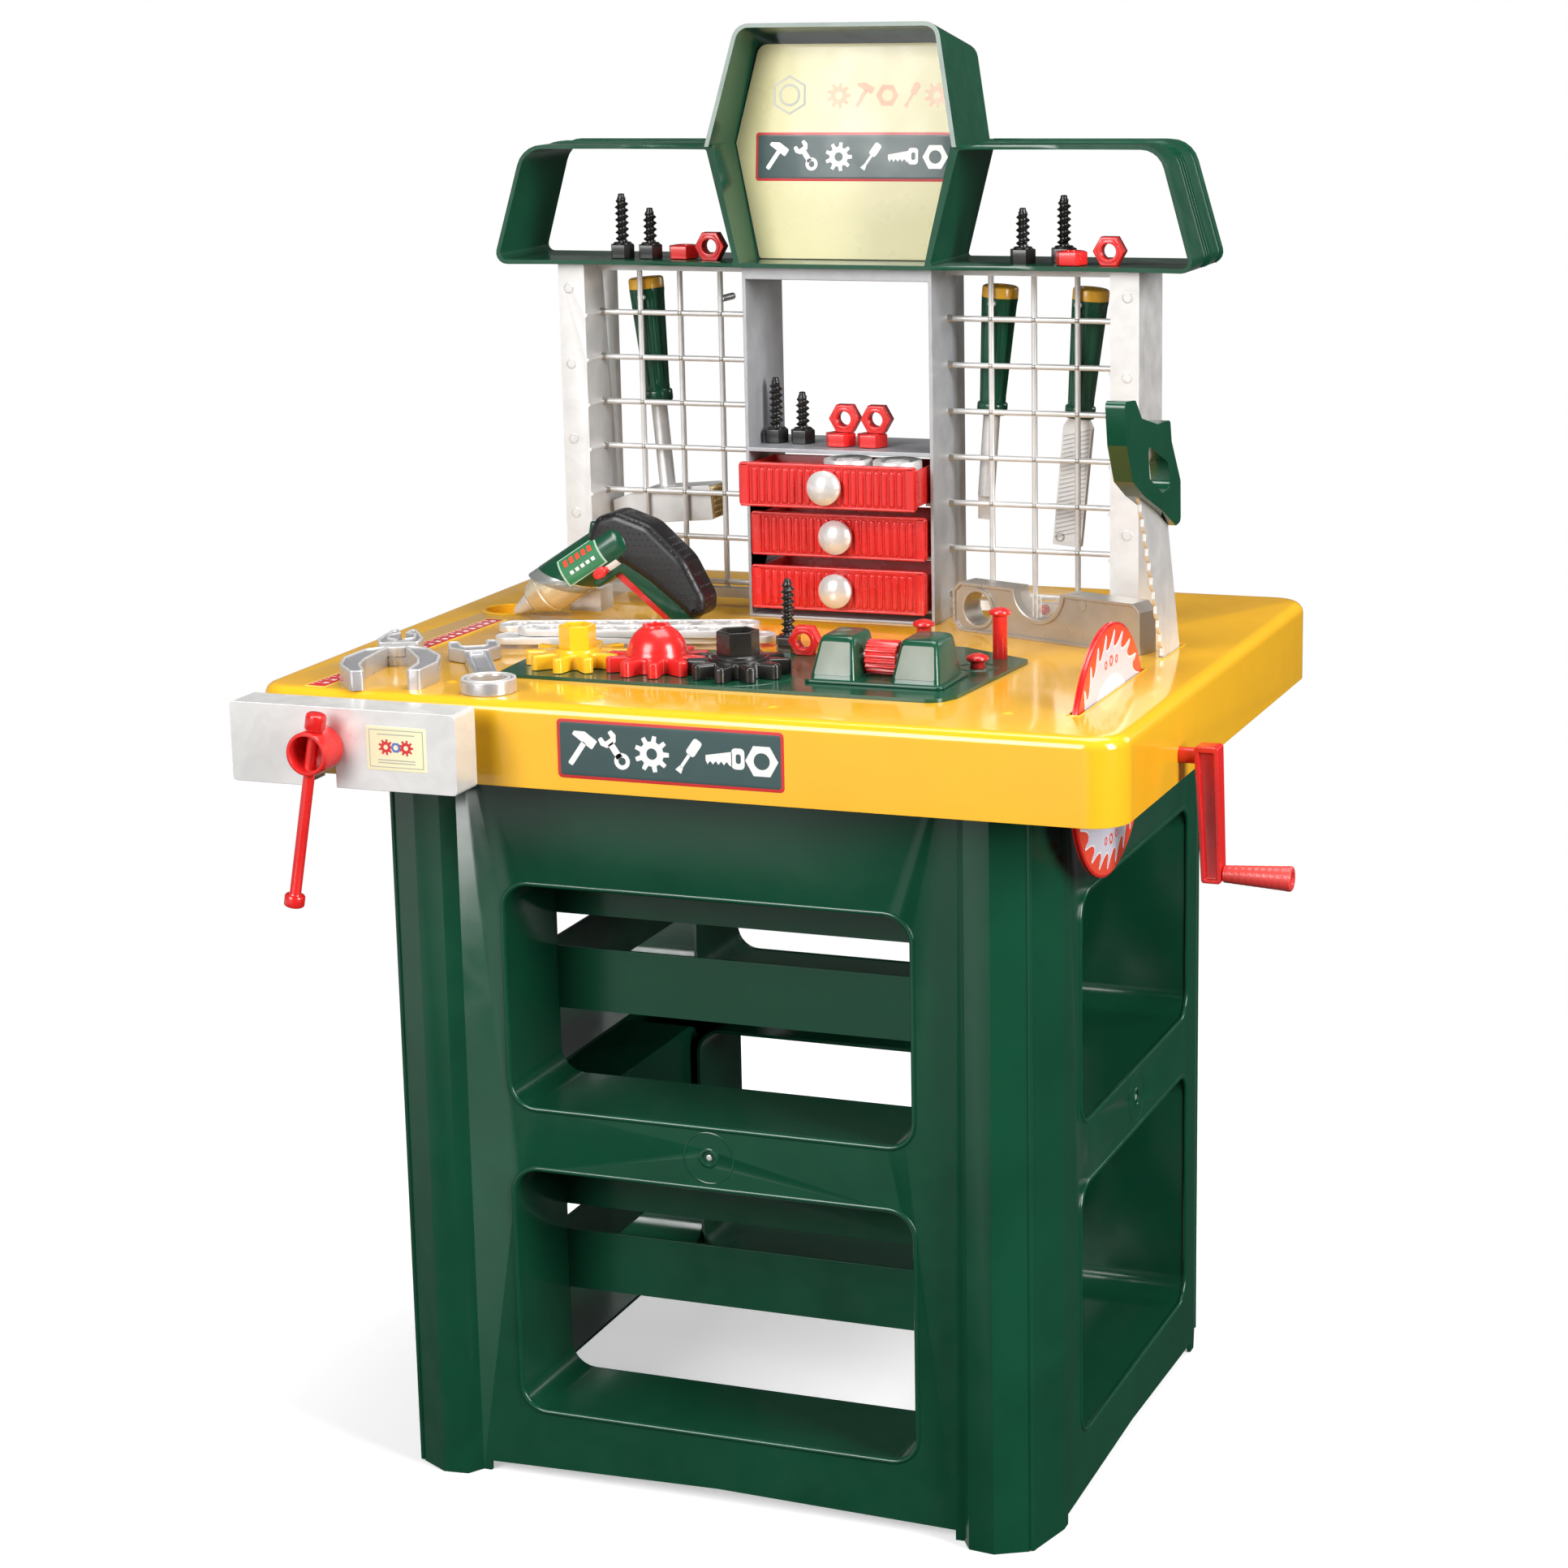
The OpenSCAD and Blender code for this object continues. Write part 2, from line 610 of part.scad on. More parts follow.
module shelf_shell(y0, y1) {
  bow_r = 560;
  color(GREEN) {
    difference() {
      slab_y(wings_outer, y0, y1 - y0);
      for (s = [0, 1]) mirror([s, 0, 0]) slab_y(wing_window, y0 - 1, y1 - y0 + 2);
      slab_y(hex_window_low, y0 - 1, y1 - y0 + 2);
      for (s = [-1, 1]) translate([s * 168, shelf_y[0] + 8 - bow_r, shelf_z - 1])
        cylinder(h = 90, r = bow_r, $fn = 160);
    }
    intersection() {
      hex_roof(y0, y1);
      block(-120, 0, hex_z, 120, 200, hex_top_z + 20);
    }
  }
}
module shelf_front_shell() { shelf_shell(shelf_y[0], shelf_mid_y); }
module shelf_rear_shell() { shelf_shell(shelf_mid_y, shelf_y[1]); }

// The sign sheet leans back inside the six-sided frame
module sign_panel() {
  outline = [[-68, 0.5], [68, 0.5], [87.5, 81.5], [71, 150.5], [-71, 150.5], [-87.5, 81.5]];
  color("khaki") translate([0, 98, shelf_z + shelf_t]) rotate([-6, 0, 0])
    slab_y(rounded(outline, [2, 2, 2, 8, 8, 2]), 0, 2);
}

module cover_screws() {
  screw_r = 3.85;
  color(SILVER) {
    for (s = [-1, 1], z = [635.6, 690.4, 745.1, 799.8]) rod_y(post_y - 0.5, post_y, s * 209.8, z, screw_r);
    rod_y(base_front_y + 0.2, base_front_y + 12, 0, boss_z, 2.2);
    rod_y(base_back_y - 12, base_back_y - 0.2, 0, boss_z, 2.2);
    for (s = [-1, 1])
      rod_x(s > 0 ? base_half_w - 12 : -base_half_w + 0.2, s > 0 ? base_half_w - 0.2 : -base_half_w + 12,
        side_opening_y, boss_z, 2.2);
  }
}

// ---- loose bolts and nuts ----
shelf_floor = shelf_z + shelf_t;
bay_floor = bay_top + 3;
// Place of each standing bolt: x, y, floor height, length
bolt_places = [[-172, 92, shelf_floor, 46], [-150, 92, shelf_floor, 36], [131, 92, shelf_floor, 38],
  [157, 104, shelf_floor, 46], [-58.5, 100, bay_floor, 47], [-38, 100, bay_floor, 37],
    [2.8, -40, table_z, 50]];
// Place of each nut: x, y, floor height, 1 where it stands on its edge
nut_places = [[-124, 92, shelf_floor, 0], [-99, 84, shelf_floor, 1], [169, 82, shelf_floor, 0],
  [196, 84, shelf_floor, 1], [-6, 92, bay_floor, 0], [18, 92, bay_floor, 0], [-2, 92, bay_floor + 10.2, 1],
  [22, 92, bay_floor + 10.2, 1], [24, -62, mat_top, 1]];
bolt_head_r = 9.2;
bolt_head_h = 10;
nut_r = 11.4;
nut_h = 10;

module toy_bolts() {
  color(BLACK) for (p = bolt_places) translate([p[0], p[1], p[2]]) {
    cylinder(h = bolt_head_h, r = bolt_head_r, $fn = 6);
    cylinder(h = p[3], r = 4.6);
  }
}
module nut() {
  difference() {
    cylinder(h = nut_h, r = nut_r, $fn = 6);
    translate([0, 0, -1]) cylinder(h = nut_h + 2, r = 5.4);
  }
}
module toy_nuts() {
  flat_r = nut_r * cos(30);
  color(RED) for (p = nut_places) translate([p[0], p[1], p[2]])
    if (p[3] == 1) translate([0, -nut_h / 2, flat_r]) rotate([-90, 0, 0]) nut();
    else nut();
}

// ---- perforated strips ----
strips_z = mat_top + 0.7;
// Each strip: x and y of its middle, angle, length, how far it lies above the lowest one
strips = [[-128, -15, 17, 186, 0], [-106, -54, 17, 196, 0], [-105, -56, 13, 166, 5.2]];
strip_w = 22;
strip_t = 5;
module perforated_strips() {
  hole_pitch = 19;
  color(SILVER) for (s = strips)
    translate([s[0], s[1], strips_z + s[4]]) rotate([0, 0, s[2]]) difference() {
      linear_extrude(strip_t) polygon(rrect(s[3], strip_w, strip_w / 2 - 0.1));
      for (k = [-4:4]) translate([k * hole_pitch, 0, -1]) cylinder(h = strip_t + 2, r = 5.2, $fn = 24);
    }
}

// ---- pliers ----
pliers_at = [-239.4, -153.2];
pliers_turn = 22.2;
pliers_h = 12.8;
pliers_pin_r = 4;
pliers_boss_r = 13;
pliers_handle = rounded([[4, -5], [22, -16], [33, -42], [33, -66], [23, -93], [13.5, -91], [18.5, -66],
  [17, -50],
  [8, -18]], [2, 10, 10, 16, 3, 3, 16, 14, 4]);
pliers_jaw = rounded([[-3, 2], [-1.2, 18], [-8, 22], [-8, 34], [-1.2, 40], [-4, 53], [-9, 50], [-16, 20],
  [-14, 4]],
  [1, 2, 3, 3, 2, 2, 2, 6, 3]);

// One half: low is 1 where its boss is the lower one
module pliers_half(low) {
  mid = pliers_h / 2;
  boss_z0 = low == 1 ? 0 : mid + 0.2;
  other_z0 = low == 1 ? mid - 0.2 : -1;
  difference() {
    union() {
      difference() {
        union() {
          slab_z(pliers_handle, 0, pliers_h);
          slab_z(pliers_jaw, 0, pliers_h);
        }
        translate([0, 0, other_z0]) cylinder(h = mid + 1.2, r = pliers_boss_r + 0.6);
      }
      translate([0, 0, boss_z0]) cylinder(h = mid - 0.2, r = pliers_boss_r);
    }
    if (low == 0) translate([0, 0, mid - 1]) cylinder(h = mid + 2, r = pliers_pin_r + fit);
  }
  if (low == 1) cylinder(h = pliers_h, r = pliers_pin_r);
}
module pliers_place() { translate([pliers_at[0], pliers_at[1], table_z])
  rotate([0, 0, pliers_turn]) children(); }
module pliers_lower_half() { color(SILVER) pliers_place() pliers_half(1); }
module pliers_upper_half() { color(SILVER) pliers_place() mirror([1, 0, 0]) pliers_half(0); }

// ---- spanner ----
module spanner() {
  ring_r = 18.5;
  t = 9;
  shank = rounded([[-8, 12], [8, 12], [8.5, 96], [18, 108], [17, 130], [9, 130], [8, 112], [-8, 112],
    [-9, 130],
    [-17, 130], [-18, 108], [-8.5, 96]], [0, 0, 6, 4, 3, 2, 4, 4, 2, 3, 4, 6], 4);
  color(SILVER) translate([-136.8, -222.7, table_z]) rotate([0, 0, 31]) {
    difference() {
      union() {
        cylinder(h = t, r = ring_r);
        slab_z(shank, 0, t);
      }
      translate([0, 0, -1]) cylinder(h = t + 2, r = 12.5);
      slab_z(rounded(box_pts(-5.2, 24, 5.2, 92), 2), t - 2, 3);
    }
  }
}

// ---- spirit level ----
level_len = 161;
level_h = 35;
level_t = 19;
vial_u = 74;
vial_r = 21;
ball_r = 3.8;
track_r = 14;

module level_place() { translate([88, 60, table_z]) rotate([0, 0, -19.6]) children(); }
module level_body() {
  chamfer = 6;
  color(SILVER) level_place() difference() {
    slab_y([[0, chamfer], [chamfer, 0], [level_len, 0], [level_len, level_h - chamfer],
      [level_len - chamfer, level_h], [chamfer, level_h], [0, level_h - chamfer]], 0, level_t);
    rod_y(-1, level_t + 1, 22, 17.5, 11.8);
    rod_y(-1, level_t + 1, vial_u, level_h, vial_r + 0.1);
    difference() {
      slab_y([[2, chamfer + 1], [chamfer + 1, 2], [level_len - 2, 2],
        [level_len - 2, level_h - chamfer - 1],
        [level_len - chamfer - 1, level_h - 2], [chamfer + 1, level_h - 2], [2, level_h - chamfer - 1]],
          -1, 3);
      rod_y(-2, 4, 22, 17.5, 14.3);
      rod_y(-2, 4, vial_u, level_h, vial_r + 2);
    }
  }
}
module level_vial() {
  color("white") level_place() difference() {
    intersection() {
      rod_y(1, level_t - 1, vial_u, level_h, vial_r);
      block(vial_u - 30, 0, 0, vial_u + 30, level_t, level_h - 0.2);
    }
    difference() {
      rod_y(level_t / 2 - ball_r - 0.5, level_t / 2 + ball_r + 0.5, vial_u, level_h - 0.2,
        track_r + ball_r + 0.5);
      rod_y(0, level_t, vial_u, level_h - 0.2, track_r - ball_r - 0.5);
      block(vial_u - 30, 0, level_h - 3, vial_u + 30, level_t, level_h + 1);
    }
  }
}
module level_ball() {
  color(RED) level_place() translate([vial_u, level_t / 2, level_h - 0.2 - track_r]) sphere(r = ball_r);
}

// ---- hand saw, standing in its slot ----
blade_t = 2.6;
saw_grip_t = 13;
saw_grip_pts = rounded([[-111, 754], [-85, 751.5], [-70, 738], [-33, 729.5], [-1.5, 728], [2, 713.6],
  [25, 684],
  [26, 656], [14, 655], [-19.6, 670], [-63, 686], [-90.4, 699.4], [-105.3, 724.8]], 4, 4);
saw_hole_pts = rounded([[-56, 719], [-7.4, 701], [-0.8, 684], [-19.8, 682], [-51, 696]], 4, 4);
teeth_n = 13;
edge_top = [-58, 690];
edge_low = [13, 552];
// The toothed edge, a row of shallow waves from the grip down
saw_edge = [for (i = [0:teeth_n - 1], k = [0, 0.35, 0.7])
  edge_top + (edge_low - edge_top) * (i + k) / teeth_n + (k > 0 ? 2.6 : 0)
    * unit([-138, -71]) * (k > 0.5 ? 0.9 : 1)];
blade_pts = concat(saw_edge, [edge_low, [49, 552], [10, 664], [-20, 680]]);

module hand_saw_blade() { color(SILVER) slab_x(blade_pts, hand_saw_x - blade_t / 2, blade_t); }
module hand_saw_handle() {
  color(GREEN) difference() {
    slab_x(saw_grip_pts, hand_saw_x - saw_grip_t / 2, saw_grip_t);
    slab_x(saw_hole_pts, hand_saw_x - saw_grip_t / 2 - 1, saw_grip_t + 2);
    slab_x(blade_pts, hand_saw_x - blade_t / 2, blade_t);
  }
}

// ---- hanging tools ----
tool_y = 123;
// x of each tool's cap, its lean and the x of the peg that carries it
hammer_at = [-168.3, 804.5, -4.9];
screwdriver_at = [104.6, 802.5, 4.5];
file_at = [171.1, 801.5, 5.5];
peg_outer = cabinet_half_w + 3 * bar_pitch_x;
peg_inner = cabinet_half_w + bar_pitch_x;

// The tool's own frame: origin at the top of its cap, the tool hanging down
module hang(place) { translate([place[0], tool_y, place[1]]) rotate([0, place[2], 0]) children(); }
module tool_grip(place, peg_x) {
  color(GREEN) difference() {
    hang(place) rotate_extrude() polygon([[0, 0], [11.6, 0], [12.9, -1.5], [12.9, -8], [9.2, -82],
      [10.8, -83.5],
      [10.8, -90], [9.6, -91.5], [0, -91.5]]);
    hang(place) translate([0, 0, -94]) cylinder(h = 24, r = 5);
    rod_y(tool_y - 20, tool_y + 20, peg_x, tool_peg_z, tool_peg_r + fit);
  }
}
module hammer_handle() { tool_grip(hammer_at, -peg_outer); }
module screwdriver_handle() { tool_grip(screwdriver_at, peg_inner); }
module file_handle() { tool_grip(file_at, peg_outer); }
module hammer_head() {
  half_t = 12.5;
  color(SILVER) hang(hammer_at) {
    translate([0, 0, -156]) cylinder(h = 64.4, r = 5.9);
    translate([0, 0, -156]) cylinder(h = 86, r = 5);
    slab_y(rounded([[-40, -171], [-13, -179.5], [39, -179.5], [39, -154], [-13, -154], [-40, -161]],
      [1, 1, 2, 2, 1, 1]), -half_t, 2 * half_t);
  }
}
module screwdriver_blade() {
  color(SILVER) hang(screwdriver_at) {
    translate([0, 0, -150]) cylinder(h = 80, r = 5);
    translate([0, 0, -150]) cylinder(h = 58.4, r = 6);
    slab_y([[-5.5, -149], [-4.4, -167], [4.4, -167], [5.5, -149]], -2, 4);
  }
}
module file_blade() {
  color(SILVER) hang(file_at) {
    translate([0, 0, -100]) cylinder(h = 30, r = 3);
    slab_y(rounded([[-10.3, -183], [10.3, -183], [10.6, -98], [7, -91.7], [-7, -91.7], [-10.6, -98]], 1),
      -3, 6);
  }
}

// ---- power screwdriver, lying with its nose in the cup ----
driver_y = 30;
driver_axis = 33;
shoulder = [-213, 585.3];
barrel_r = 17.5;
grip_half = 15;

// The barrel's own frame: origin at the shoulder, +Z along the barrel away from the nose
module barrel_place() { translate([shoulder[0], driver_y, shoulder[1]])
  rotate([0, 90 - driver_axis, 0]) children(); }
frame_pts = rounded([[-178, 612], [-172, 640], [-150, 640], [-122, 612], [-92, 574], [-97, 568.5],
  [-107, 567.2],
  [-150, 604], [-158, 597], [-170, 590]], [2, 2, 10, 30, 4, 4, 4, 4, 4, 4]);
rubber_pts = rounded([[-176, 622], [-167, 643], [-151, 648.5], [-125, 640], [-98, 616], [-83, 588],
  [-84, 576], [-95, 572.5],
  [-104, 581], [-126, 598], [-146, 610], [-168, 614]], [6, 10, 14, 20, 30, 12, 6, 3, 20, 30, 12, 6]);
trigger_pts = rounded([[-156.5, 600.5], [-152.5, 604.5], [-114, 572.8], [-117, 568.6]], 1.5, 3);
// The trigger's pocket: its outline grown by 0.5 mm and drawn out along its travel
trigger_pocket_pts = rounded([[-157.2, 600.5], [-153.8, 608.2], [-150.2, 609.2], [-110, 576],
  [-113.4, 572.3],
  [-116.9, 567.9]], [1, 1, 1, 1, 1, 1], 3);
button_at = [-162, 604];

module driver_body() {
  color(GREEN) difference() {
    union() {
      barrel_place() rotate_extrude()
        polygon([[0, -13], [10.5, -13], [12.5, -8], [16.5, 0], [barrel_r, 8], [barrel_r, 78],
          [barrel_r - 5, 84], [0, 84]]);
      slab_y(frame_pts, driver_y - 11, 22);
    }
    slab_y(rubber_pts, driver_y - grip_half, 2 * grip_half);
    barrel_place() translate([0, 0, -14]) cylinder(h = 22, r = 4 + fit);
    slab_y(trigger_pocket_pts, driver_y - 5.5, 11);
    rod_y(driver_y - 30, driver_y - 10, button_at[0], button_at[1], 5.2);
  }
}
module driver_grip() { color(BLACK) slab_y(rubber_pts, driver_y - grip_half, 2 * grip_half); }
module driver_nose() {
  color(SILVER) barrel_place() {
    rotate_extrude() polygon([[0, -31], [2, -31], [3.2, -29], [8, -14], [8, -13.3], [0, -13.3]]);
    translate([0, 0, -14]) cylinder(h = 20, r = 4);
  }
}
module driver_trigger() { color(RED) slab_y(trigger_pts, driver_y - 5, 10); }
module driver_button() { color(RED) rod_y(driver_y - 19.6, driver_y - 13, button_at[0], button_at[1], 5); }

// ---- what is drawn ----
front_panel();
back_panel();
left_panel();
right_panel();
table_top();
work_mat();
roller_housings();
ridged_roller();
roller_pin();
peg_tall();
peg_low();
peg_rear();
gear_yellow();
gear_red();
gear_black();
gear_pins();
saw_disc();
saw_axle();
crank_arm();
crank_grip();
vise_jaw();
vise_guides();
vise_screw();
vise_bar();
left_grid_frame();
right_grid_frame();
drawer_cabinet();
cover_screws();
drawer_top();
drawer_middle();
drawer_bottom();
knob_top();
knob_middle();
knob_bottom();
drawer_washers();
shelf_front_shell();
shelf_rear_shell();
sign_panel();
toy_bolts();
toy_nuts();
perforated_strips();
pliers_lower_half();
pliers_upper_half();
spanner();
level_body();
level_vial();
level_ball();
hand_saw_blade();
hand_saw_handle();
hammer_head();
hammer_handle();
screwdriver_blade();
screwdriver_handle();
file_blade();
file_handle();
driver_body();
driver_grip();
driver_nose();
driver_trigger();
driver_button();
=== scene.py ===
"""Looks of the toy workbench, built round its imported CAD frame. Sizes in the helpers are millimetres."""
import json
import math

import bmesh
import bpy
from mathutils import Matrix, Vector
from mathutils.geometry import tessellate_polygon


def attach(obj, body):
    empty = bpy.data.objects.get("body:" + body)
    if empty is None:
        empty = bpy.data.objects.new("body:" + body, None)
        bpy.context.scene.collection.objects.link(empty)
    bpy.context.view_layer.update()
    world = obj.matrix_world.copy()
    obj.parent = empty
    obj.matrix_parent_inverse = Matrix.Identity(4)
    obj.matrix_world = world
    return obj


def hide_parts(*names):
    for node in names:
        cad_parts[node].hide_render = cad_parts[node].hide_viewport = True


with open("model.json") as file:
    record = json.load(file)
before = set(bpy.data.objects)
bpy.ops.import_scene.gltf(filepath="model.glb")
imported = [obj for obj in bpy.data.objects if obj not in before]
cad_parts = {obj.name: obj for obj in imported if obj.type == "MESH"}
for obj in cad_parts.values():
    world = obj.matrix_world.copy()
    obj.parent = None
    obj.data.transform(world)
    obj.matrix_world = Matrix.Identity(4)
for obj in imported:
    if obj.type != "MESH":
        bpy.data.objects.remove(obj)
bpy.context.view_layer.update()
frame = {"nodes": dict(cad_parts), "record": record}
NODES = frame["nodes"]
NODE_BODY = {n: b for b, ns in frame["record"]["behaviour"]["bodies"].items() for n in ns}
MM = 0.001
sin, cos, pi = math.sin, math.cos, math.pi
rad = math.radians

# places on the bench
BASE_FRONT, BASE_BACK, BASE_SIDE = -197, 212, 236
TABLE_Z, TABLE_FRONT = 566.5, -249
MAT_Z = 569
GEAR_Y, GEAR_X = -135, {"yellow": -112.5, "red": -54, "black": 4.5}
SAW_Y, SAW_Z, CRANK_LENGTH = -112, 528, 77
VISE_X, VISE_Z, JAW_FRONT = -221, 540, -295
PEGS = {"peg_tall": (154.9, -37.2), "peg_low": (150.4, -72), "peg_rear": (96, -24)}
GRID_Y, HANG_Y = 107, 123
CABINET_Z, SHELF_Z = 689.5, 821


# ---------------------------------------------------------------- camera
def make_camera():
    """The camera stands to the front right, a little above the table, and is turned by a small roll."""
    az, el, roll = rad(21.729), rad(13.391), rad(-1.206)
    back = Vector((sin(az) * cos(el), -cos(az) * cos(el), sin(el)))
    right = Vector((cos(az), sin(az), 0))
    up = back.cross(right)
    r2 = cos(roll) * right + sin(roll) * up
    u2 = -sin(roll) * right + cos(roll) * up
    cam = bpy.data.objects.new("camera", bpy.data.cameras.new("camera"))
    m = Matrix((r2, u2, back)).transposed().to_4x4()
    m.translation = (0.8814, -2.2583, 1.0399)
    cam.matrix_world = m
    cam.data.lens = 81.06
    cam.data.sensor_width = 36
    cam.data.clip_start = 0.05
    bpy.context.scene.collection.objects.link(cam)
    bpy.context.scene.camera = cam


make_camera()


# ---------------------------------------------------------------- materials
def material(name):
    mat = bpy.data.materials.new(name)
    mat.use_nodes = True
    tree = mat.node_tree
    tree.nodes.clear()
    out = tree.nodes.new("ShaderNodeOutputMaterial")
    bsdf = tree.nodes.new("ShaderNodeBsdfPrincipled")
    tree.links.new(bsdf.outputs[0], out.inputs[0])
    return mat, tree, bsdf


def noise(tree, coord, scale, detail=3.0, distortion=0.0):
    n = tree.nodes.new("ShaderNodeTexNoise")
    n.inputs["Scale"].default_value = scale
    n.inputs["Detail"].default_value = detail
    n.inputs["Distortion"].default_value = distortion
    tree.links.new(coord, n.inputs["Vector"])
    return n.outputs["Fac"]


def ranged(tree, value, a0, a1, b0, b1):
    n = tree.nodes.new("ShaderNodeMapRange")
    for i, v in enumerate((a0, a1, b0, b1)):
        n.inputs[i + 1].default_value = v
    tree.links.new(value, n.inputs[0])
    return n.outputs[0]


def mixed(tree, fac, a, b):
    n = tree.nodes.new("ShaderNodeMix")
    n.data_type = "RGBA"
    tree.links.new(fac, n.inputs[0])
    n.inputs[6].default_value = (*a, 1)
    n.inputs[7].default_value = (*b, 1)
    return n.outputs[2]


def bump(tree, height, strength, distance, under=None):
    n = tree.nodes.new("ShaderNodeBump")
    n.inputs["Strength"].default_value = strength
    n.inputs["Distance"].default_value = distance
    tree.links.new(height, n.inputs["Height"])
    if under:
        tree.links.new(under, n.inputs["Normal"])
    return n.outputs[0]


def scaled(c, k):
    return tuple(min(1.0, v * k) for v in c)


def plastic(name, color, rough, spread, wave, grain=0.08, metal=0.0, coat=0.3, swirl=0.0, dots=False):
    """Moulded plastic: colour drift, uneven gloss, slow waviness and fine grain; dots make it a grip."""
    mat, tree, bsdf = material(name)
    co = tree.nodes.new("ShaderNodeTexCoord").outputs["Object"]
    fac = ranged(tree, noise(tree, co, 14, 3, 0.6), 0.3, 0.7, 0, 1)
    if swirl:
        fac = ranged(tree, noise(tree, co, 26, 5, 3.2), 0.36, 0.62, 0, 1)
        spread = swirl
    tree.links.new(mixed(tree, fac, scaled(color, 1 - spread), scaled(color, 1 + spread)),
                 bsdf.inputs["Base Color"])
    tree.links.new(ranged(tree, noise(tree, co, 60, 4), 0.3, 0.7, rough * 0.8, rough * 1.25),
                 bsdf.inputs["Roughness"])
    normal = bump(tree, noise(tree, co, 11, 1), wave, 0.0006)
    normal = bump(tree, noise(tree, co, 1400, 2), grain, 0.0002, normal)
    if dots:
        cell = tree.nodes.new("ShaderNodeTexVoronoi")
        cell.inputs["Scale"].default_value = 240
        cell.inputs["Randomness"].default_value = 0.15
        tree.links.new(co, cell.inputs["Vector"])
        normal = bump(tree, ranged(tree, cell.outputs["Distance"], 0.12, 0.3, 0, 1), 0.9, 0.0008, normal)
        spot = ranged(tree, cell.outputs["Distance"], 0.12, 0.24, 1, 0)
        tree.links.new(mixed(tree, spot, color, scaled(color, 9)), bsdf.inputs["Base Color"])
    tree.links.new(normal, bsdf.inputs["Normal"])
    bsdf.inputs["Metallic"].default_value = metal
    bsdf.inputs["Coat Weight"].default_value = coat
    bsdf.inputs["Coat Roughness"].default_value = 0.08
    return mat


# key: name, colour, roughness, colour drift and waviness
LOOKS = {
    "green": plastic("green plastic", (0.006, 0.063, 0.031), 0.20, 0.10, 0.45, grain=0.03, coat=0.1),
    "yellow": plastic("yellow plastic", (0.90, 0.47, 0.018), 0.16, 0.03, 0.22, grain=0.02, coat=0.4),
    "red": plastic("red plastic", (0.70, 0.018, 0.016), 0.27, 0.06, 0.3, coat=0.4),
    "silver": plastic("silver pearl plastic", (0.68, 0.67, 0.66), 0.38, 0.05, 0.25, metal=0.4, coat=0.0,
                      swirl=0.035),
    "grey": plastic("grey pearl plastic", (0.42, 0.43, 0.45), 0.40, 0.05, 0.25, metal=0.3, coat=0.0,
                    swirl=0.04),
    # the jaw's plastic is the silver pearl made brighter: painted light standing in for the bright light
    # falling on the vise jaw
    "jaw": plastic("silver pearl with painted light", (0.80, 0.79, 0.77), 0.34, 0.05, 0.3, metal=0.35, coat=0.1,
                   swirl=0.03),
    "warm": plastic("warm grey plastic", (0.47, 0.43, 0.38), 0.32, 0.05, 0.2, metal=0.4, coat=0.1,
                    swirl=0.03),
    "black": plastic("black plastic", (0.012, 0.011, 0.010), 0.30, 0.10, 0.2, coat=0.3),
    "rubber": plastic("grip rubber", (0.005, 0.005, 0.006), 0.40, 0.12, 0.2, grain=0.1, coat=0.1,
                      dots=True),
    "gold": plastic("gold plastic", (0.62, 0.42, 0.15), 0.28, 0.06, 0.1, metal=0.6, coat=0.3),
    "champagne": plastic("champagne plastic", (0.66, 0.58, 0.42), 0.28, 0.05, 0.1, metal=0.5, coat=0.3),
    "paper": plastic("sign sheet", (0.74, 0.68, 0.38), 0.30, 0.02, 0.6, grain=0.03, coat=0.3),
    "teal": plastic("label teal", (0.045, 0.085, 0.085), 0.35, 0.05, 0.1, coat=0.2),
    "border": plastic("label red", (0.62, 0.03, 0.03), 0.35, 0.05, 0.1, coat=0.2),
    "white": plastic("label white", (0.86, 0.86, 0.84), 0.35, 0.02, 0.1, coat=0.2),
    "lilac": plastic("label lilac", (0.62, 0.60, 0.68), 0.32, 0.03, 0.1, coat=0.2),
    "orange": plastic("label orange red", (0.80, 0.075, 0.035), 0.32, 0.03, 0.1, coat=0.2),
    "cream": plastic("label cream", (0.86, 0.80, 0.52), 0.35, 0.02, 0.1, coat=0.2),
    # this lighter grey-green is a painted reflection: it stands in for the front light mirrored on the flat
    # housing faces
    "pale": plastic("painted sheen face", (0.19, 0.22, 0.18), 0.42, 0.03, 0.1, coat=0.0),
    "pink": plastic("faded red print", (0.86, 0.52, 0.34), 0.35, 0.03, 0.1, coat=0.2),
    "ruler": plastic("ruler yellow", (0.93, 0.66, 0.10), 0.32, 0.02, 0.1, coat=0.3),
    "grip": plastic("light red plastic", (0.70, 0.05, 0.045), 0.42, 0.05, 0.2, coat=0.3),
    "wire": plastic("wire silver", (0.42, 0.41, 0.38), 0.33, 0.05, 0.1, metal=0.6, coat=0.0),
    "tool": plastic("tool silver", (0.56, 0.56, 0.58), 0.30, 0.04, 0.15, metal=0.6, coat=0.1),
    "knob": plastic("knob silver", (0.80, 0.79, 0.78), 0.26, 0.015, 0.05, grain=0.02, metal=0.35, coat=0.3),
    "ball": plastic("dark red ball", (0.42, 0.010, 0.014), 0.2, 0.05, 0.1, coat=0.5),
    "cap": plastic("cap yellow", (0.80, 0.42, 0.03), 0.30, 0.05, 0.1, coat=0.3),
    "seg": plastic("grey silver plastic", (0.34, 0.36, 0.35), 0.28, 0.04, 0.1, metal=0.5, coat=0.3),
    "mint": plastic("label mint", (0.42, 0.58, 0.44), 0.32, 0.02, 0.1, coat=0.3),
    "leaf": plastic("label leaf green", (0.03, 0.20, 0.085), 0.32, 0.03, 0.1, coat=0.3),
    "blue": plastic("label blue", (0.10, 0.18, 0.52), 0.35, 0.02, 0.1, coat=0.2),
    "printgrey": plastic("grey print", (0.42, 0.42, 0.36), 0.35, 0.03, 0.1, coat=0.2),
}


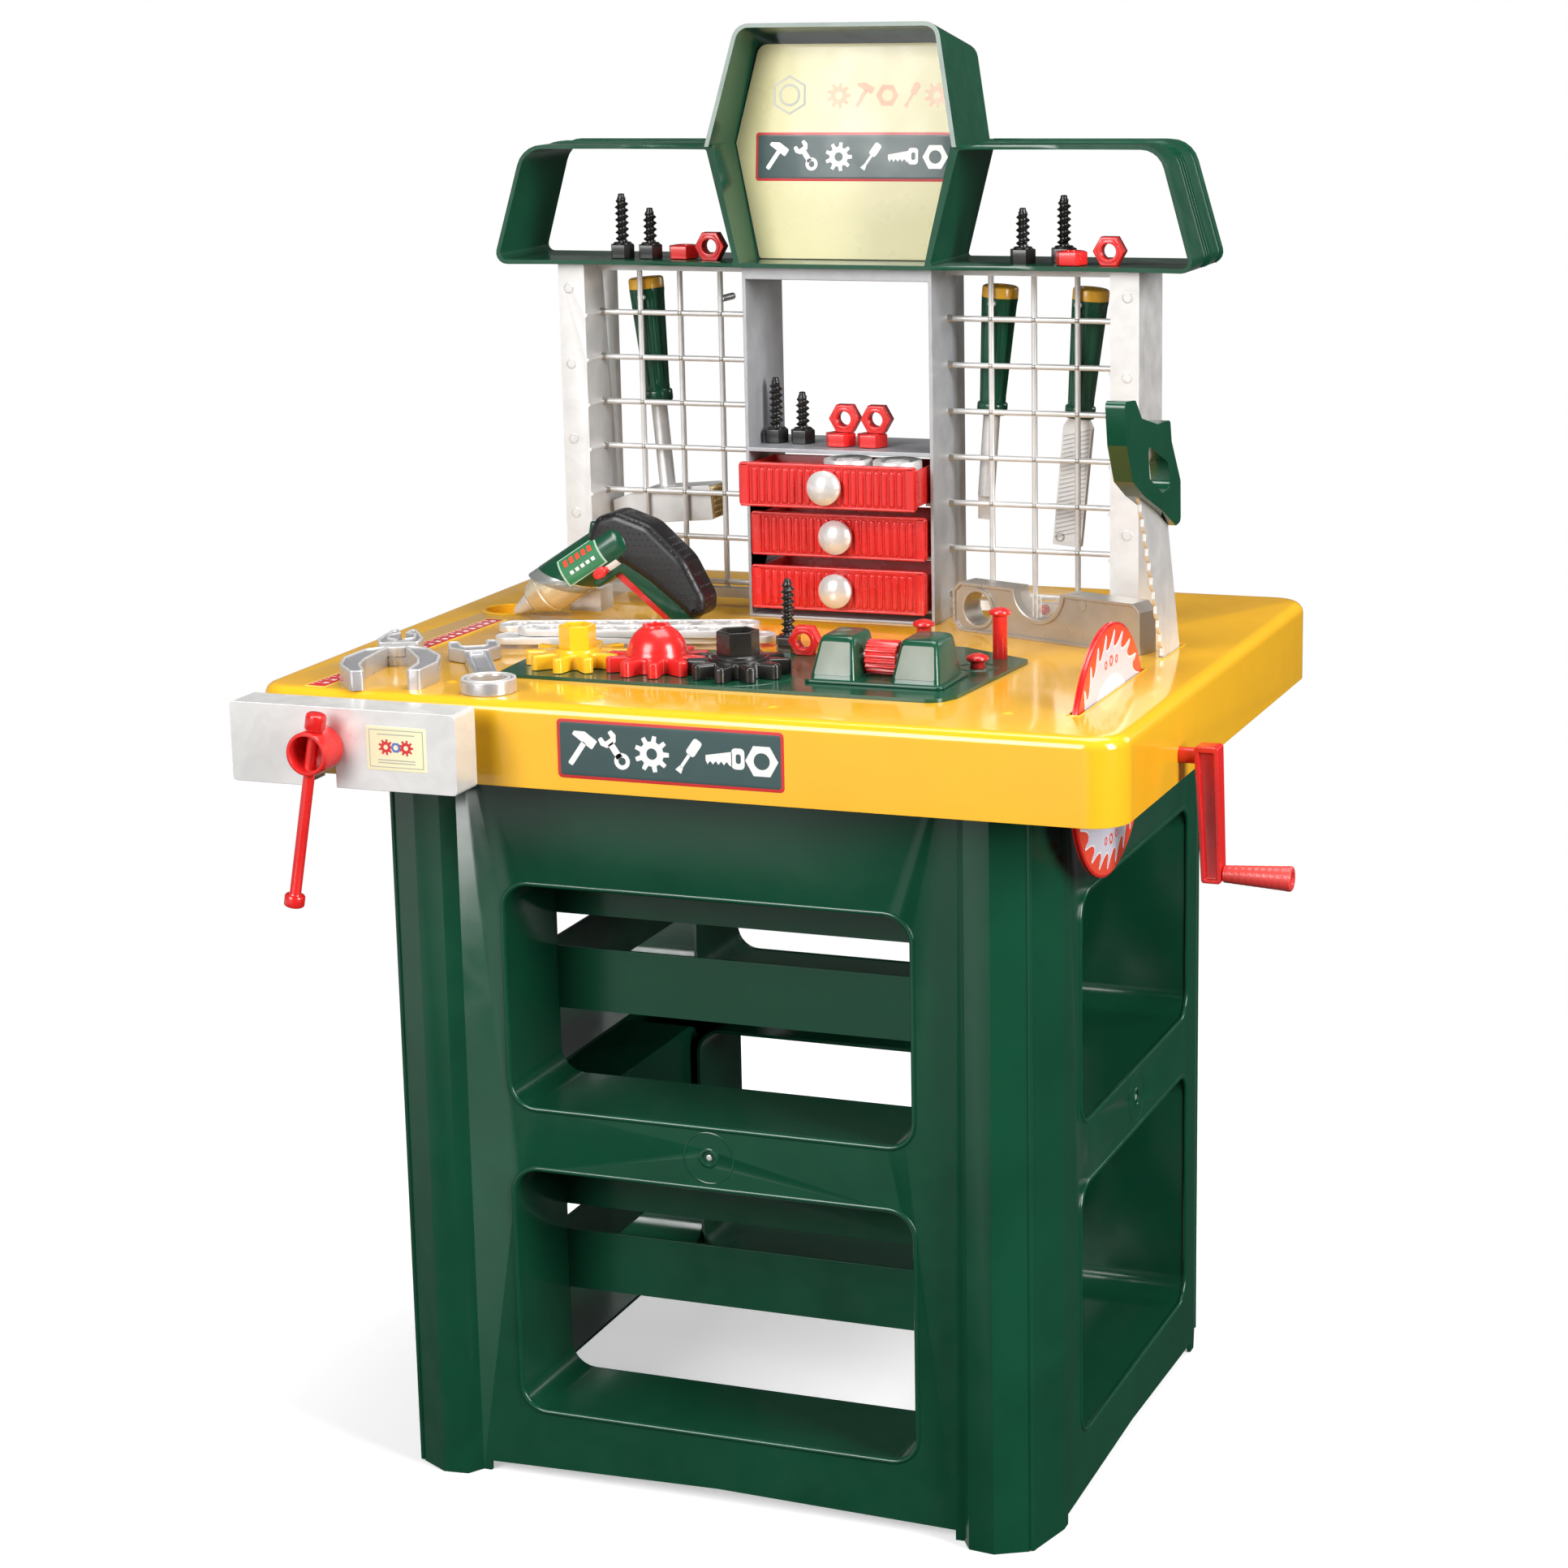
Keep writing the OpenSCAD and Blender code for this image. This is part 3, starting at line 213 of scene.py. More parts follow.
def clear_plastic():
    mat, tree, bsdf = material("clear plastic")
    co = tree.nodes.new("ShaderNodeTexCoord").outputs["Object"]
    tree.links.new(mixed(tree, noise(tree, co, 20), (0.93, 0.94, 0.94), (0.99, 0.99, 0.98)),
                 bsdf.inputs["Base Color"])
    tree.links.new(ranged(tree, noise(tree, co, 80), 0.3, 0.7, 0.03, 0.08), bsdf.inputs["Roughness"])
    bsdf.inputs["Alpha"].default_value = 0.1
    bsdf.inputs["Coat Weight"].default_value = 0.5
    return mat


LOOKS["clear"] = clear_plastic()
# groups of material keys under one slot name; the mappings are built and not kept
dict.fromkeys(("red", "grip", "ball"), "red_gloss")
dict.fromkeys(("silver", "grey", "jaw", "warm", "wire", "knob", "champagne"), "silver_plastic")


# ---------------------------------------------------------------- solids, in millimetres: (points, faces)
def V2(p):
    return Vector((p[0], p[1]))


def area2(loop):
    """Twice the area of an outline; below 0 when it runs clockwise."""
    return sum(loop[i - 1][0] * loop[i][1] - loop[i][0] * loop[i - 1][1] for i in range(len(loop)))


def inset(loop, d):
    """The outline moved inwards by d."""
    out = []
    for i in range(len(loop)):
        a, b, c = V2(loop[i - 1]), V2(loop[i]), V2(loop[(i + 1) % len(loop)])
        u, v = (b - a).normalized(), (c - b).normalized()
        s = Vector((-u.y - v.y, u.x + v.x))
        k = 2 * d / max(s.dot(s), 0.6)
        out.append(tuple(b + s * k))
    return out


def rounded(pts, r, n=5):
    """A closed outline with rounded corners; r is one radius or one for each point."""
    out = []
    k = len(pts)
    for i in range(k):
        a, b, c = V2(pts[i - 1]), V2(pts[i]), V2(pts[(i + 1) % k])
        q = r[i] if isinstance(r, (list, tuple)) else r
        if q == 0:
            out.append(tuple(b))
            continue
        u, v = (a - b).normalized(), (c - b).normalized()
        h = math.acos(max(-1, min(1, u.dot(v)))) / 2
        mid = b + (u + v).normalized() * q / sin(h)
        p, s = b + u * q / math.tan(h) - mid, b + v * q / math.tan(h) - mid
        a0, a1 = math.atan2(p.y, p.x), math.atan2(s.y, s.x)
        da = (a1 - a0 + pi) % (2 * pi) - pi
        out += [(mid.x + q * cos(a0 + da * j / n), mid.y + q * sin(a0 + da * j / n)) for j in range(n + 1)]
    return out


def rrect(x0, y0, x1, y1, r, n=5):
    return rounded([(x0, y0), (x1, y0), (x1, y1), (x0, y1)], r, n)


def circle(r, n=32, cx=0.0, cy=0.0):
    return [(cx + r * cos(2 * pi * i / n), cy + r * sin(2 * pi * i / n)) for i in range(n)]


def hexa(r, turn=0.0):
    return [(r * cos(pi / 3 * i + turn), r * sin(pi / 3 * i + turn)) for i in range(6)]


def prism(loops, z0, z1, b=0.0, segs=3, bottom=True):
    """An outline with holes, thickened from z0 to z1 with rounded edges of radius b."""
    if not isinstance(loops[0][0], (tuple, list, Vector)):
        loops = [loops]
    loops = [list(l) for l in loops]
    loops = [l if (area2(l) > 0) == (i == 0) else l[::-1] for i, l in enumerate(loops)]
    levels = []
    if b and bottom:
        for j in range(segs + 1):
            t = pi / 2 * j / segs
            levels.append((z0 + b * (1 - cos(t)), b * (1 - sin(t))))
    else:
        levels.append((z0, 0.0))
    if b:
        for j in range(segs + 1):
            t = pi / 2 * j / segs
            levels.append((z1 - b * (1 - sin(t)), b * (1 - cos(t))))
    else:
        levels.append((z1, 0.0))
    pts, faces, rings = [], [], []
    for z, d in levels:
        ring = []
        for l in loops:
            q = inset(l, d) if d else l
            ring.append(range(len(pts), len(pts) + len(q)))
            pts += [(x, y, z) for x, y in q]
        rings.append(ring)
    for lo, hi in zip(rings, rings[1:]):
        for a, c in zip(lo, hi):
            n = len(a)
            for i in range(n):
                j = (i + 1) % n
                faces.append((a[i], a[j], c[j], c[i]))
    for ring, flip in ((rings[0], True), (rings[-1], False)):
        idx = [i for l in ring for i in l]
        tri = tessellate_polygon([[Vector((pts[i][0], pts[i][1], 0)) for i in l] for l in ring])
        faces += [tuple(idx[i] for i in (t[::-1] if flip else t)) for t in tri]
    return pts, faces


def lathe(profile, n=40, wobble=None):
    """(radius, height) points turned round Z, closed where the profile stays off the axis."""
    pts, faces, rings = [], [], []
    for r, z in profile:
        if r < 1e-6:
            rings.append([len(pts)] * n)
            pts.append((0, 0, z))
        else:
            rings.append(list(range(len(pts), len(pts) + n)))
            for i in range(n):
                a = 2 * pi * i / n
                q = r * (wobble(a, z) if wobble else 1)
                pts.append((q * cos(a), q * sin(a), z))
    pairs = list(zip(rings, rings[1:]))
    if profile[0][0] > 1e-6 or profile[-1][0] > 1e-6:
        pairs.append((rings[-1], rings[0]))
    for a, c in pairs:
        for i in range(n):
            j = (i + 1) % n
            f = []
            for k in (a[i], a[j], c[j], c[i]):
                if k not in f:
                    f.append(k)
            if len(f) > 2:
                faces.append(tuple(f))
    return pts, faces


def arc_pts(cx, cz, r, a0, a1, n):
    return [(cx + r * cos(rad(a0 + (a1 - a0) * i / n)),
             cz + r * sin(rad(a0 + (a1 - a0) * i / n))) for i in range(n + 1)]


def tube(path, r, n, closed=False):
    """A round bar along a path of points, n-sided."""
    spots = [Vector(p) for p in path]
    k = len(spots)
    along = []
    for i in range(k):
        a = spots[i - 1] if (i or closed) else spots[i]
        c = spots[(i + 1) % k] if (i < k - 1 or closed) else spots[i]
        along.append((c - a).normalized())
    ref = Vector((0, 0, 1)) if abs(along[0].z) < 0.9 else Vector((1, 0, 0))
    u = along[0].cross(ref).normalized()
    pts, faces = [], []
    for i in range(k):
        u = (u - along[i] * u.dot(along[i])).normalized()
        v = along[i].cross(u)
        pts += [tuple(spots[i] + u * r * cos(2 * pi * j / n) + v * r * sin(2 * pi * j / n)) for j in range(n)]
    for i in range(k if closed else k - 1):
        a, c = i * n, ((i + 1) % k) * n
        faces += [(a + j, a + (j + 1) % n, c + (j + 1) % n, c + j) for j in range(n)]
    if not closed:
        faces += [tuple(reversed(range(n))), tuple(range((k - 1) * n, k * n))]
    return pts, faces


def ball(r, c=(0, 0, 0), n=20, squash=1.0):
    prof = [(r * sin(pi * i / 10), -r * squash * cos(pi * i / 10)) for i in range(11)]
    prof[0], prof[-1] = (0, -r * squash), (0, r * squash)
    return move(lathe(prof, n), T(*c))


def thread(r0, r1, z0, z1, pitch):
    """A coarse screw thread round Z, closed at both ends."""
    n, per = 22, 8
    steps = max(2, round((z1 - z0) / pitch * per))
    pts, faces = [(0, 0, z0)], []
    for i in range(steps + 1):
        z = z0 + (z1 - z0) * i / steps
        fade = min(1, (z1 - z) / pitch, (z - z0) / pitch * 2 + 0.2)
        for j in range(n):
            ph = (z / pitch - j / n) % 1
            k = max(0.0, 1 - abs(ph - 0.5) * 3.2) ** 0.8 * fade
            r = r0 + (r1 - r0) * k
            pts.append((r * cos(2 * pi * j / n), r * sin(2 * pi * j / n), z))
    pts.append((0, 0, z1))
    faces += [(0, 1 + (j + 1) % n, 1 + j) for j in range(n)]
    for i in range(steps):
        a = 1 + i * n
        faces += [(a + j, a + (j + 1) % n, a + n + (j + 1) % n, a + n + j) for j in range(n)]
    last = 1 + steps * n
    faces += [(last + j, last + (j + 1) % n, len(pts) - 1) for j in range(n)]
    return pts, faces


def T(x, y, z):
    """Translation."""
    return Matrix.Translation((x, y, z))


def R(axis, deg):
    """Rotation."""
    return Matrix.Rotation(rad(deg), 4, axis)


# a solid with its height along Z is stood up, so that its height runs along X or Y or to the front
ALONG_X = Matrix(((0, 0, 1), (1, 0, 0), (0, 1, 0))).to_4x4()
ALONG_Y = Matrix(((1, 0, 0), (0, 0, 1), (0, 1, 0))).to_4x4()
TO_FRONT = Matrix(((1, 0, 0), (0, 0, -1), (0, 1, 0))).to_4x4()
MIRROR_X = Matrix.Diagonal((-1, 1, 1, 1))


def move(solid, m):
    return [tuple(m @ Vector(p)) for p in solid[0]], solid[1]


def move_all(solids, m):
    return [move(s, m) for s in solids]


def rbox(x0, y0, z0, x1, y1, z1, b):
    return prism(rrect(x0, y0, x1, y1, b, 3), z0, z1, b, 2)


def dress(item, body, nodes):
    """Puts an object in the scene, on its body, in place of its CAD nodes."""
    bpy.context.scene.collection.objects.link(item)
    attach(item, body)
    if nodes:
        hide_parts(*nodes)


def piece(name, body, groups, replaces=None):
    """One object from solids; groups is [(material key, [solids])]."""
    mesh = bpy.data.meshes.new(name)
    pts, faces, mats = [], [], []
    for i, (_, solids) in enumerate(groups):
        for corners, sides in solids:
            k = len(pts)
            pts += [(x * MM, y * MM, z * MM) for x, y, z in corners]
            faces += [tuple(j + k for j in f) for f in sides]
            mats += [i] * len(sides)
    mesh.from_pydata(pts, [], faces)
    mesh.polygons.foreach_set("material_index", mats)
    for key, _ in groups:
        mesh.materials.append(LOOKS[key])
    edit = bmesh.new()
    edit.from_mesh(mesh)
    bmesh.ops.remove_doubles(edit, verts=edit.verts, dist=1e-7)
    bmesh.ops.recalc_face_normals(edit, faces=edit.faces)
    edit.to_mesh(mesh)
    edit.free()
    mesh.polygons.foreach_set("use_smooth", [True] * len(mesh.polygons))
    mesh.set_sharp_from_angle(angle=rad(38))
    item = bpy.data.objects.new(name, mesh)
    dress(item, body, [replaces] if replaces else [])


def at(name):
    return NODE_BODY[name]


def soft_copy(node, key, width):
    """A copy of a CAD node with rounded edges, which stands for the node."""
    mesh = NODES[node].data.copy()
    mesh.name = node + "_skin"
    edit = bmesh.new()
    edit.from_mesh(mesh)
    bmesh.ops.remove_doubles(edit, verts=edit.verts, dist=2e-6)
    bmesh.ops.dissolve_limit(edit, angle_limit=rad(0.6), verts=edit.verts, edges=edit.edges)
    bmesh.ops.recalc_face_normals(edit, faces=edit.faces)
    edit.to_mesh(mesh)
    edit.free()
    mesh.materials.clear()
    mesh.materials.append(LOOKS[key])
    mesh.polygons.foreach_set("material_index", [0] * len(mesh.polygons))
    mesh.polygons.foreach_set("use_smooth", [True] * len(mesh.polygons))
    mesh.set_sharp_from_angle(angle=rad(40))
    item = bpy.data.objects.new(node + "_skin", mesh)
    if width:
        bevel = item.modifiers.new("rounded edges", "BEVEL")
        bevel.width = width * MM
        bevel.segments = 2
        bevel.limit_method = "ANGLE"
        bevel.angle_limit = rad(30)
        bevel.harden_normals = True
    dress(item, at(node), [node])


# ---------------------------------------------------------------- pieces
def ring(r0, r1, z0, z1, b=0.3, n=32):
    return prism([circle(r1, n), circle(r0, n)], z0, z1, b)


def shrink(loop, d):
    return inset(loop if area2(loop) > 0 else loop[::-1], d)


def inside(loop, x, y):
    """Whether a point lies inside an outline."""
    hit = False
    for i in range(len(loop)):
        (x0, y0), (x1, y1) = loop[i - 1], loop[i]
        if (y0 > y) != (y1 > y) and x < (x1 - x0) * (y - y0) / (y1 - y0) + x0:
            hit = not hit
    return hit


def wrap(r, a0, a1, z0, z1, t, n=14):
    """A sticker wrapped round a barrel, from angle a0 to a1 and height z0 to z1."""
    pts, faces = [], []
    for q in (r, r + t):
        for z in (z0, z1):
            for i in range(n + 1):
                a = rad(a0 + (a1 - a0) * i / n)
                pts.append((q * cos(a), q * sin(a), z))
    m = n + 1
    for i in range(n):
        faces += [(i, i + 1, m + i + 1, m + i), (2 * m + i, 2 * m + i + 1, 3 * m + i + 1, 3 * m + i),
                  (i, i + 1, 2 * m + i + 1, 2 * m + i), (m + i, m + i + 1, 3 * m + i + 1, 3 * m + i)]
    faces += [(0, m, 3 * m, 2 * m), (n, m + n, 3 * m + n, 2 * m + n)]
    return pts, faces


def toothed(n, r0, r1):
    out = []
    for i in range(n):
        for k, r in ((-0.30, r0), (-0.17, r1), (0.17, r1), (0.30, r0)):
            a = 2 * pi * (i + k) / n
            out.append((r * cos(a), r * sin(a)))
    return out


SAW_EDGE = [(-9.5 + 1.5 * i, -3.2 if i % 2 == 0 else -1.4) for i in range(9)]
SPANNER_FORK = [(-3, 4), (3, 4), (5.2, 7), (4.6, 10.5), (2.2, 10.5), (2, 7.2), (-2, 7.2), (-2.2, 10.5),
                (-4.6, 10.5), (-5.2, 7)]
# simple tool signs about 20 across; each solid is an outline with its holes
ICONS = {
    "hammer": [[rrect(-1.5, -10, 1.5, 4.5, 0.8, 2)],
               [rounded([(-8, 4), (5.5, 4), (5.5, 9.5), (-3, 9.5), (-8, 6.2)], 0.6, 2)]],
    "spanner": [[rrect(-1.8, -4, 1.8, 5, 0.2, 1)], [circle(4.4, 18, 0, -6), circle(2.1, 14, 0, -6)],
                [rounded(SPANNER_FORK, 0.5, 2)]],
    "driver": [[rrect(-2.7, 1, 2.7, 10.5, 1.6, 3)], [rrect(-0.9, -7, 0.9, 1.2, 0.1, 1)],
               [[(-1.9, -10), (1.9, -10), (1.1, -6.8), (-1.1, -6.8)]]],
    "gear": [[toothed(9, 6.6, 9.6), circle(3, 18)]],
    "nut": [[hexa(9), circle(4.4, 20)]],
    "saw": [[[(-10.5, 1.5), (-10.5, -1.2)] + SAW_EDGE + [(4, -3.6), (4, 4)]],
            [rrect(3.6, -5, 10.8, 6, 2.2, 3), rrect(6, -2, 8.8, 3, 1.2, 3)]],
}


def icon(kind, x, y, size, h0, h1, turn=0):
    """A sign of the given size about x, y, from height h0 to h1."""
    m = T(x, y, 0) @ R("Z", turn) @ Matrix.Diagonal((size / 20, size / 20, 1, 1))
    return [move(prism(loops, h0, h1), m) for loops in ICONS[kind]]


def icon_row(x, y, step, size, h0, h1):
    """The row of six tool signs on the front label and on the sign."""
    row = []
    for i, (kind, turn) in enumerate((("hammer", -35), ("spanner", 35), ("gear", 0), ("driver", -35),
                                      ("saw", 0), ("nut", 0))):
        row += icon(kind, x + step * i, y, size, h0, h1, turn)
    return row


# base: rolled lips round the openings, rings round the screws
PANELS = (("front_panel", T(0, BASE_FRONT, 0), 290, 0),
          ("back_panel", T(0, BASE_BACK, 0) @ R("Z", 180), 290, 0),
          ("right_panel", T(BASE_SIDE, 7.5, 0) @ R("Z", 90), 267, 7),
          ("left_panel", T(-BASE_SIDE, 7.5, 0) @ R("Z", -90), 267, -7))
screws = []
for panel, stand, width, middle in PANELS:
    lips = []
    for z0, z1 in ((272, 429), (51, 227)):
        loop = rrect(middle - width / 2 - 1.3, z0 - 1.3, middle + width / 2 + 1.3, z1 + 1.3, 19.3, 7)
        lips.append(move(tube([(x, 0.9, z) for x, z in loop], 2.1, 10, True), stand))
    place = stand @ T(middle, 0, 250) @ TO_FRONT
    lips.append(move(lathe([(17.2, -0.3), (17.3, 0.15), (17.8, 0.35), (18.3, 0.15), (18.4, -0.3)], 48),
                     place))
    lips.append(move(lathe([(4.6, -0.9), (4.7, 0.1), (5.3, 0.6), (6.3, 0.6), (7.0, 0.2), (7.4, -0.3)], 40),
                     place))
    piece(panel + "_lips", "bench", [("green", lips)])
    screws.append(move(lathe([(0, -11), (2.1, -11), (2.1, -0.7), (1.7, -0.4), (0.7, -0.4), (0.6, -1.1),
                              (0, -1.1)], 20), place))
for sx in (-1, 1):
    for z in (635.6, 690.4, 745.1, 799.8):
        prof = [(0, -0.3), (3.85, -0.3), (3.85, 0.15), (3.5, 0.4), (3.2, 0.4), (3.05, 0.12), (2.85, 0.12),
                (2.7, 0.42), (0, 0.45)]
        screws.append(move(lathe(prof, 28), T(sx * 209.8, 79, z) @ TO_FRONT))
piece("cover_screws_look", "bench", [("silver", screws)], "cover_screws")

# base: the joint between two panels at each corner
seams = [tube([(x, y, 1), (x, y, 562)], 2.3, 10)
         for x in (-225.4, 225.4) for y in (BASE_FRONT + 0.6, BASE_BACK - 0.6)]
piece("corner_seams", "bench", [("green", seams)])

# table: label, ruler sticker, dimples and the lip of the cup
front = T(0, TABLE_FRONT, 0) @ TO_FRONT
label = [("border", [move(prism(rrect(-76, 519, 81, 558, 3), -0.2, 0.25, 0.1), front)]),
         ("teal", [move(prism(rrect(-74, 521, 79, 556, 2), 0.2, 0.38, 0.08), front)])]
label.append(("white", move_all(icon_row(-60, 538.5, 25.2, 25, 0.35, 0.5), front)))
piece("front_label", "bench", label)
ruler = T(-257, -238, TABLE_Z) @ R("Z", 87.22)
ticks = []
for i in range(1, 49):
    x = 5 * i
    ticks.append(prism(rrect(x - 0.35, 2.2 if i % 2 == 0 else 4, x + 0.35, 6.2, 0.01, 1), 0.3, 0.4))
    if i % 2 == 0:
        ticks += [prism(rrect(x - 1.9, -3.8, x - 1.3, 0.2, 0.2, 2), 0.3, 0.4),
                  prism(rrect(x - 0.3, -3.8, x + 1.9, 0.2, 0.6, 2), 0.3, 0.4)]
piece("ruler_sticker", "bench",
      [("ruler", [move(prism(rrect(-2.5, -8.3, 250, 8.3, 1.5), -0.1, 0.15, 0.05), ruler)]),
       ("border", [move(prism(rrect(0, -6.6, 247.5, 6.6, 0.6), 0.1, 0.3, 0.05), ruler)]),
       ("white", move_all(ticks, ruler))])
trim = [move(lathe([(17.9, -3), (18.1, -0.4), (18.8, 0.2), (20.2, 0.35), (21.4, 0.1), (21.8, -0.3)], 56),
             T(-252.5, 51, TABLE_Z))]
for x, y in ((-175, -200), (210, -192), (60, -215), (-60, -215)):
    trim.append(move(lathe([(0, 0.9), (1.8, 0.75), (3.2, 0.35), (4, 0), (4, -0.3), (0, -0.3)], 24),
                     T(x, y, TABLE_Z)))
for x0, y0, x1, y1 in ((247.4, -189.2, 256.6, -34.8), (253, -0.2, 259, 54.2)):
    trim.append(move(prism([rrect(x0, y0, x1, y1, 1.2), rrect(x0 + 1.1, y0 + 1.2, x1 - 1.1, y1 - 1.2, 0.5)],
                           -0.3, 0.5, 0.25), T(0, 0, TABLE_Z)))
piece("table_trim", "bench", [("yellow", trim)])

# work mat: moulded rings; roller housings with a painted reflection of the front light on their front faces
rings = []
for (x, y), r in (((GEAR_X["black"], GEAR_Y), 40.5), (PEGS["peg_low"], 13.5), (PEGS["peg_low"], 11.2),
                  ((GEAR_X["yellow"], GEAR_Y), 12), ((GEAR_X["red"], GEAR_Y), 12)):
    prof = [(r - 0.9, -0.2), (r - 0.4, 0.25), (r + 0.4, 0.25), (r + 0.9, -0.2)]
    rings.append(move(lathe(prof, 64), T(x, y, MAT_Z)))
piece("mat_rings", "bench", [("green", rings)])


def loft(stack):
    """Rings of points, each closed and of one length, joined from the first to the last."""
    n = len(stack[0])
    pts = [p for ring_ in stack for p in ring_]
    faces = []
    for i in range(len(stack) - 1):
        a, c = i * n, (i + 1) * n
        faces += [(a + j, a + (j + 1) % n, c + (j + 1) % n, c + j) for j in range(n)]
    return pts, faces + [tuple(reversed(range(n))), tuple(range((len(stack) - 1) * n, len(stack) * n))]


def housing_block(x0, x1):
    stack = []
    for z, s in ((569.5, 0), (573, 0), (585, 0), (594.6, 0), (596.3, 0.35), (597.4, 1.0), (598, 2.2)):
        k = (z - 571) / 27
        ring_ = rrect(x0 + 4 * k + s, -147 + 12 * k + s, x1 - 5 * k - s, -99 - 2 * k - s, 3.6, 5)
        stack.append([(x, y, z) for x, y in ring_])
    return loft(stack)


# flat front faces of the housings, coloured with the painted reflection of the front light
painted_sheen_faces = []
for x0, x1 in ((59, 91), (115, 149)):
    quad = rounded([(x0 + 3.2, 3), (x1 - 3.4, 3), (x1 - 6.6, 25.6), (x0 + 6, 25.6)], 1.2, 3)
    painted_sheen_faces.append(move(prism(quad, 0.02, 0.35, 0.12), T(0, -147, 571) @ R("X", 90 - 23.96)))
plinth = prism(rrect(56, -151, 153, -96, 5), 568.9, 571.3, 0.9)
piece("roller_housings_look", "bench",
      [("green", [housing_block(59, 91), housing_block(115, 149), plinth]), ("pale", painted_sheen_faces)],
      "roller_housings")


# gears
def gear_disc(phase, b=1.5):
    pts, rr = [], []
    for i in range(10):
        a = rad(phase + 36 * i)
        for x, y, r in ((21.3, -5.1, 1.6), (35.2, -3.3, 2.9), (35.2, 3.3, 2.9), (21.3, 5.1, 1.6)):
            pts.append((x * cos(a) - y * sin(a), x * sin(a) + y * cos(a)))
            rr.append(r)
    return prism([rounded(pts, rr, 5), circle(4.1, 24)], 569.5, 579.5, b, 4, bottom=False)


def cup_post(r, t, top):
    turn = pi / 6
    return [prism([hexa(r, turn), hexa(r - t, turn)], 579, top, 0.7, 3, bottom=False),
            prism(hexa(r - t + 0.5, turn), 579, top - 6, 0)]


def gear(colour, solids):
    node = "gear_" + colour
    piece(node + "_look", at(node), [(colour, move_all(solids, T(GEAR_X[colour], GEAR_Y, 0)))], node)


foot = lathe([(0, 579), (16, 579), (16, 580), (15.4, 580.8), (0, 580.8)], 40)
gear("yellow", [gear_disc(18)] + cup_post(12.6, 2.6, 596.5) + [foot])
dome = [(0, 579), (20.8, 579), (20.8, 581)] + arc_pts(0, 579.5, 20.5, 6, 62, 12)
dome += [(9.3, 598.2), (8.9, 599.1), (7.6, 599.3), (6.6, 598.8), (6.2, 592), (0, 591.5)]
notches = [move(rbox(6.4, -1.3, 596.6, 9.9, 1.3, 599.6, 0.3), R("Z", 60 * i)) for i in range(6)]
gear("red", [gear_disc(0), lathe(dome, 48)] + notches)
flange = lathe([(0, 579), (20.5, 579), (20.5, 580.4), (19.8, 581.2), (18.2, 581.2), (17.6, 580.7),
                (17.4, 582.4), (16.6, 583.2), (0, 583.2)], 48)
gear("black", [gear_disc(18, 1.9)] + cup_post(14.4, 2.8, 598.5) + [flange])

# pegs
for peg, top in (("peg_tall", 603.5), ("peg_low", 578.5), ("peg_rear", 590)):
    prof = [(0, -38), (4.4, -38), (5, -37.2), (5, -5.1), (7.0, -4.8), (7.6, -4.3), (7.75, -3.5),
            (7.4, -2.9)] + arc_pts(0, -12.85, 12.85, 56, 90, 8)
    piece(peg + "_look", at(peg), [("red", [move(lathe(prof, 40), T(*PEGS[peg], top))])], peg)


# saw disc with its stickers
def saw_teeth(r0, r1):
    """Raked teeth between two radii."""
    out = []
    for i in range(26):
        for r, k in ((r0, 0.0), (r0 + 0.7, -0.22), (r0 + 3.6, -0.5), (r1 - 0.8, -0.86), (r1, -0.93),
                     (r1 - 1.2, -0.98), (r0 + 3.2, -0.83), (r0 + 0.6, -0.9)):
            a = 2 * pi * (k - i) / 26
            out.append((r * cos(a), r * sin(a)))
    return out[::-1]


axle = T(0, SAW_Y, SAW_Z)
disc = lathe([(5.25, 250), (81.9, 250), (83, 250.5), (83, 251.4), (82.2, 251.8), (82.2, 252.2), (83, 252.6),
              (83, 253.5), (81.9, 254), (5.25, 254)], 96)
groups = [("red", [move(disc, axle @ ALONG_X)])]
for key, loop, h in (("orange", circle(81.4, 72), 0.12), ("white", saw_teeth(67.6, 78.4), 0.22),
                     ("lilac", saw_teeth(66.4, 76.6), 0.30), ("white", circle(50, 64), 0.38)):
    groups.append((key, [move(prism(loop, 254 - 0.05, 254 + h), axle @ ALONG_X),
                         move(prism(loop, 250 - h, 250 + 0.05), axle @ ALONG_X)]))
marks = []
for up in (1, -1):
    for y, z, size in ((0, 59, 9), (12, 58, 7), (-12, 58, 7)):
        marks += icon("nut", y, up * z, size, 0, 0.12)
for x, side in ((254.3, Matrix.Identity(4)), (249.7, MIRROR_X)):
    groups.append(("orange", move_all(marks, axle @ T(x, 0, 0) @ side @ ALONG_X)))
piece("saw_disc_look", at("saw_disc"), groups, "saw_disc")
rod = lathe([(0, 240), (4.9, 240), (5.25, 240.5), (5.25, 310.7), (0, 310.7)], 28)
collar = lathe([(5.3, 255.6), (6.6, 255.9), (6.6, 257.6), (5.3, 258)], 28)
piece("saw_axle_look", at("saw_axle"), [("red", move_all([rod, collar], axle @ ALONG_X))], "saw_axle")
grip = [(3.15, 0), (5.0, 0), (5.6, 0.5)]
for i in range(9):
    z = 3 + 4.4 * i
    grip += [(5.6 + 0.06 * z, z), (5.72 + 0.06 * z, z + 0.5), (5.6 + 0.06 * z, z + 1.0)]
grip += [(8.3, 42.5), (8.2, 44.2), (7.4, 45), (4.6, 45), (4.3, 43.9), (3.15, 43.9)]
grip_place = T(329.8, SAW_Y, SAW_Z - CRANK_LENGTH) @ ALONG_X
piece("crank_grip_look", at("crank_grip"), [("grip", [move(lathe(grip, 36), grip_place)])], "crank_grip")

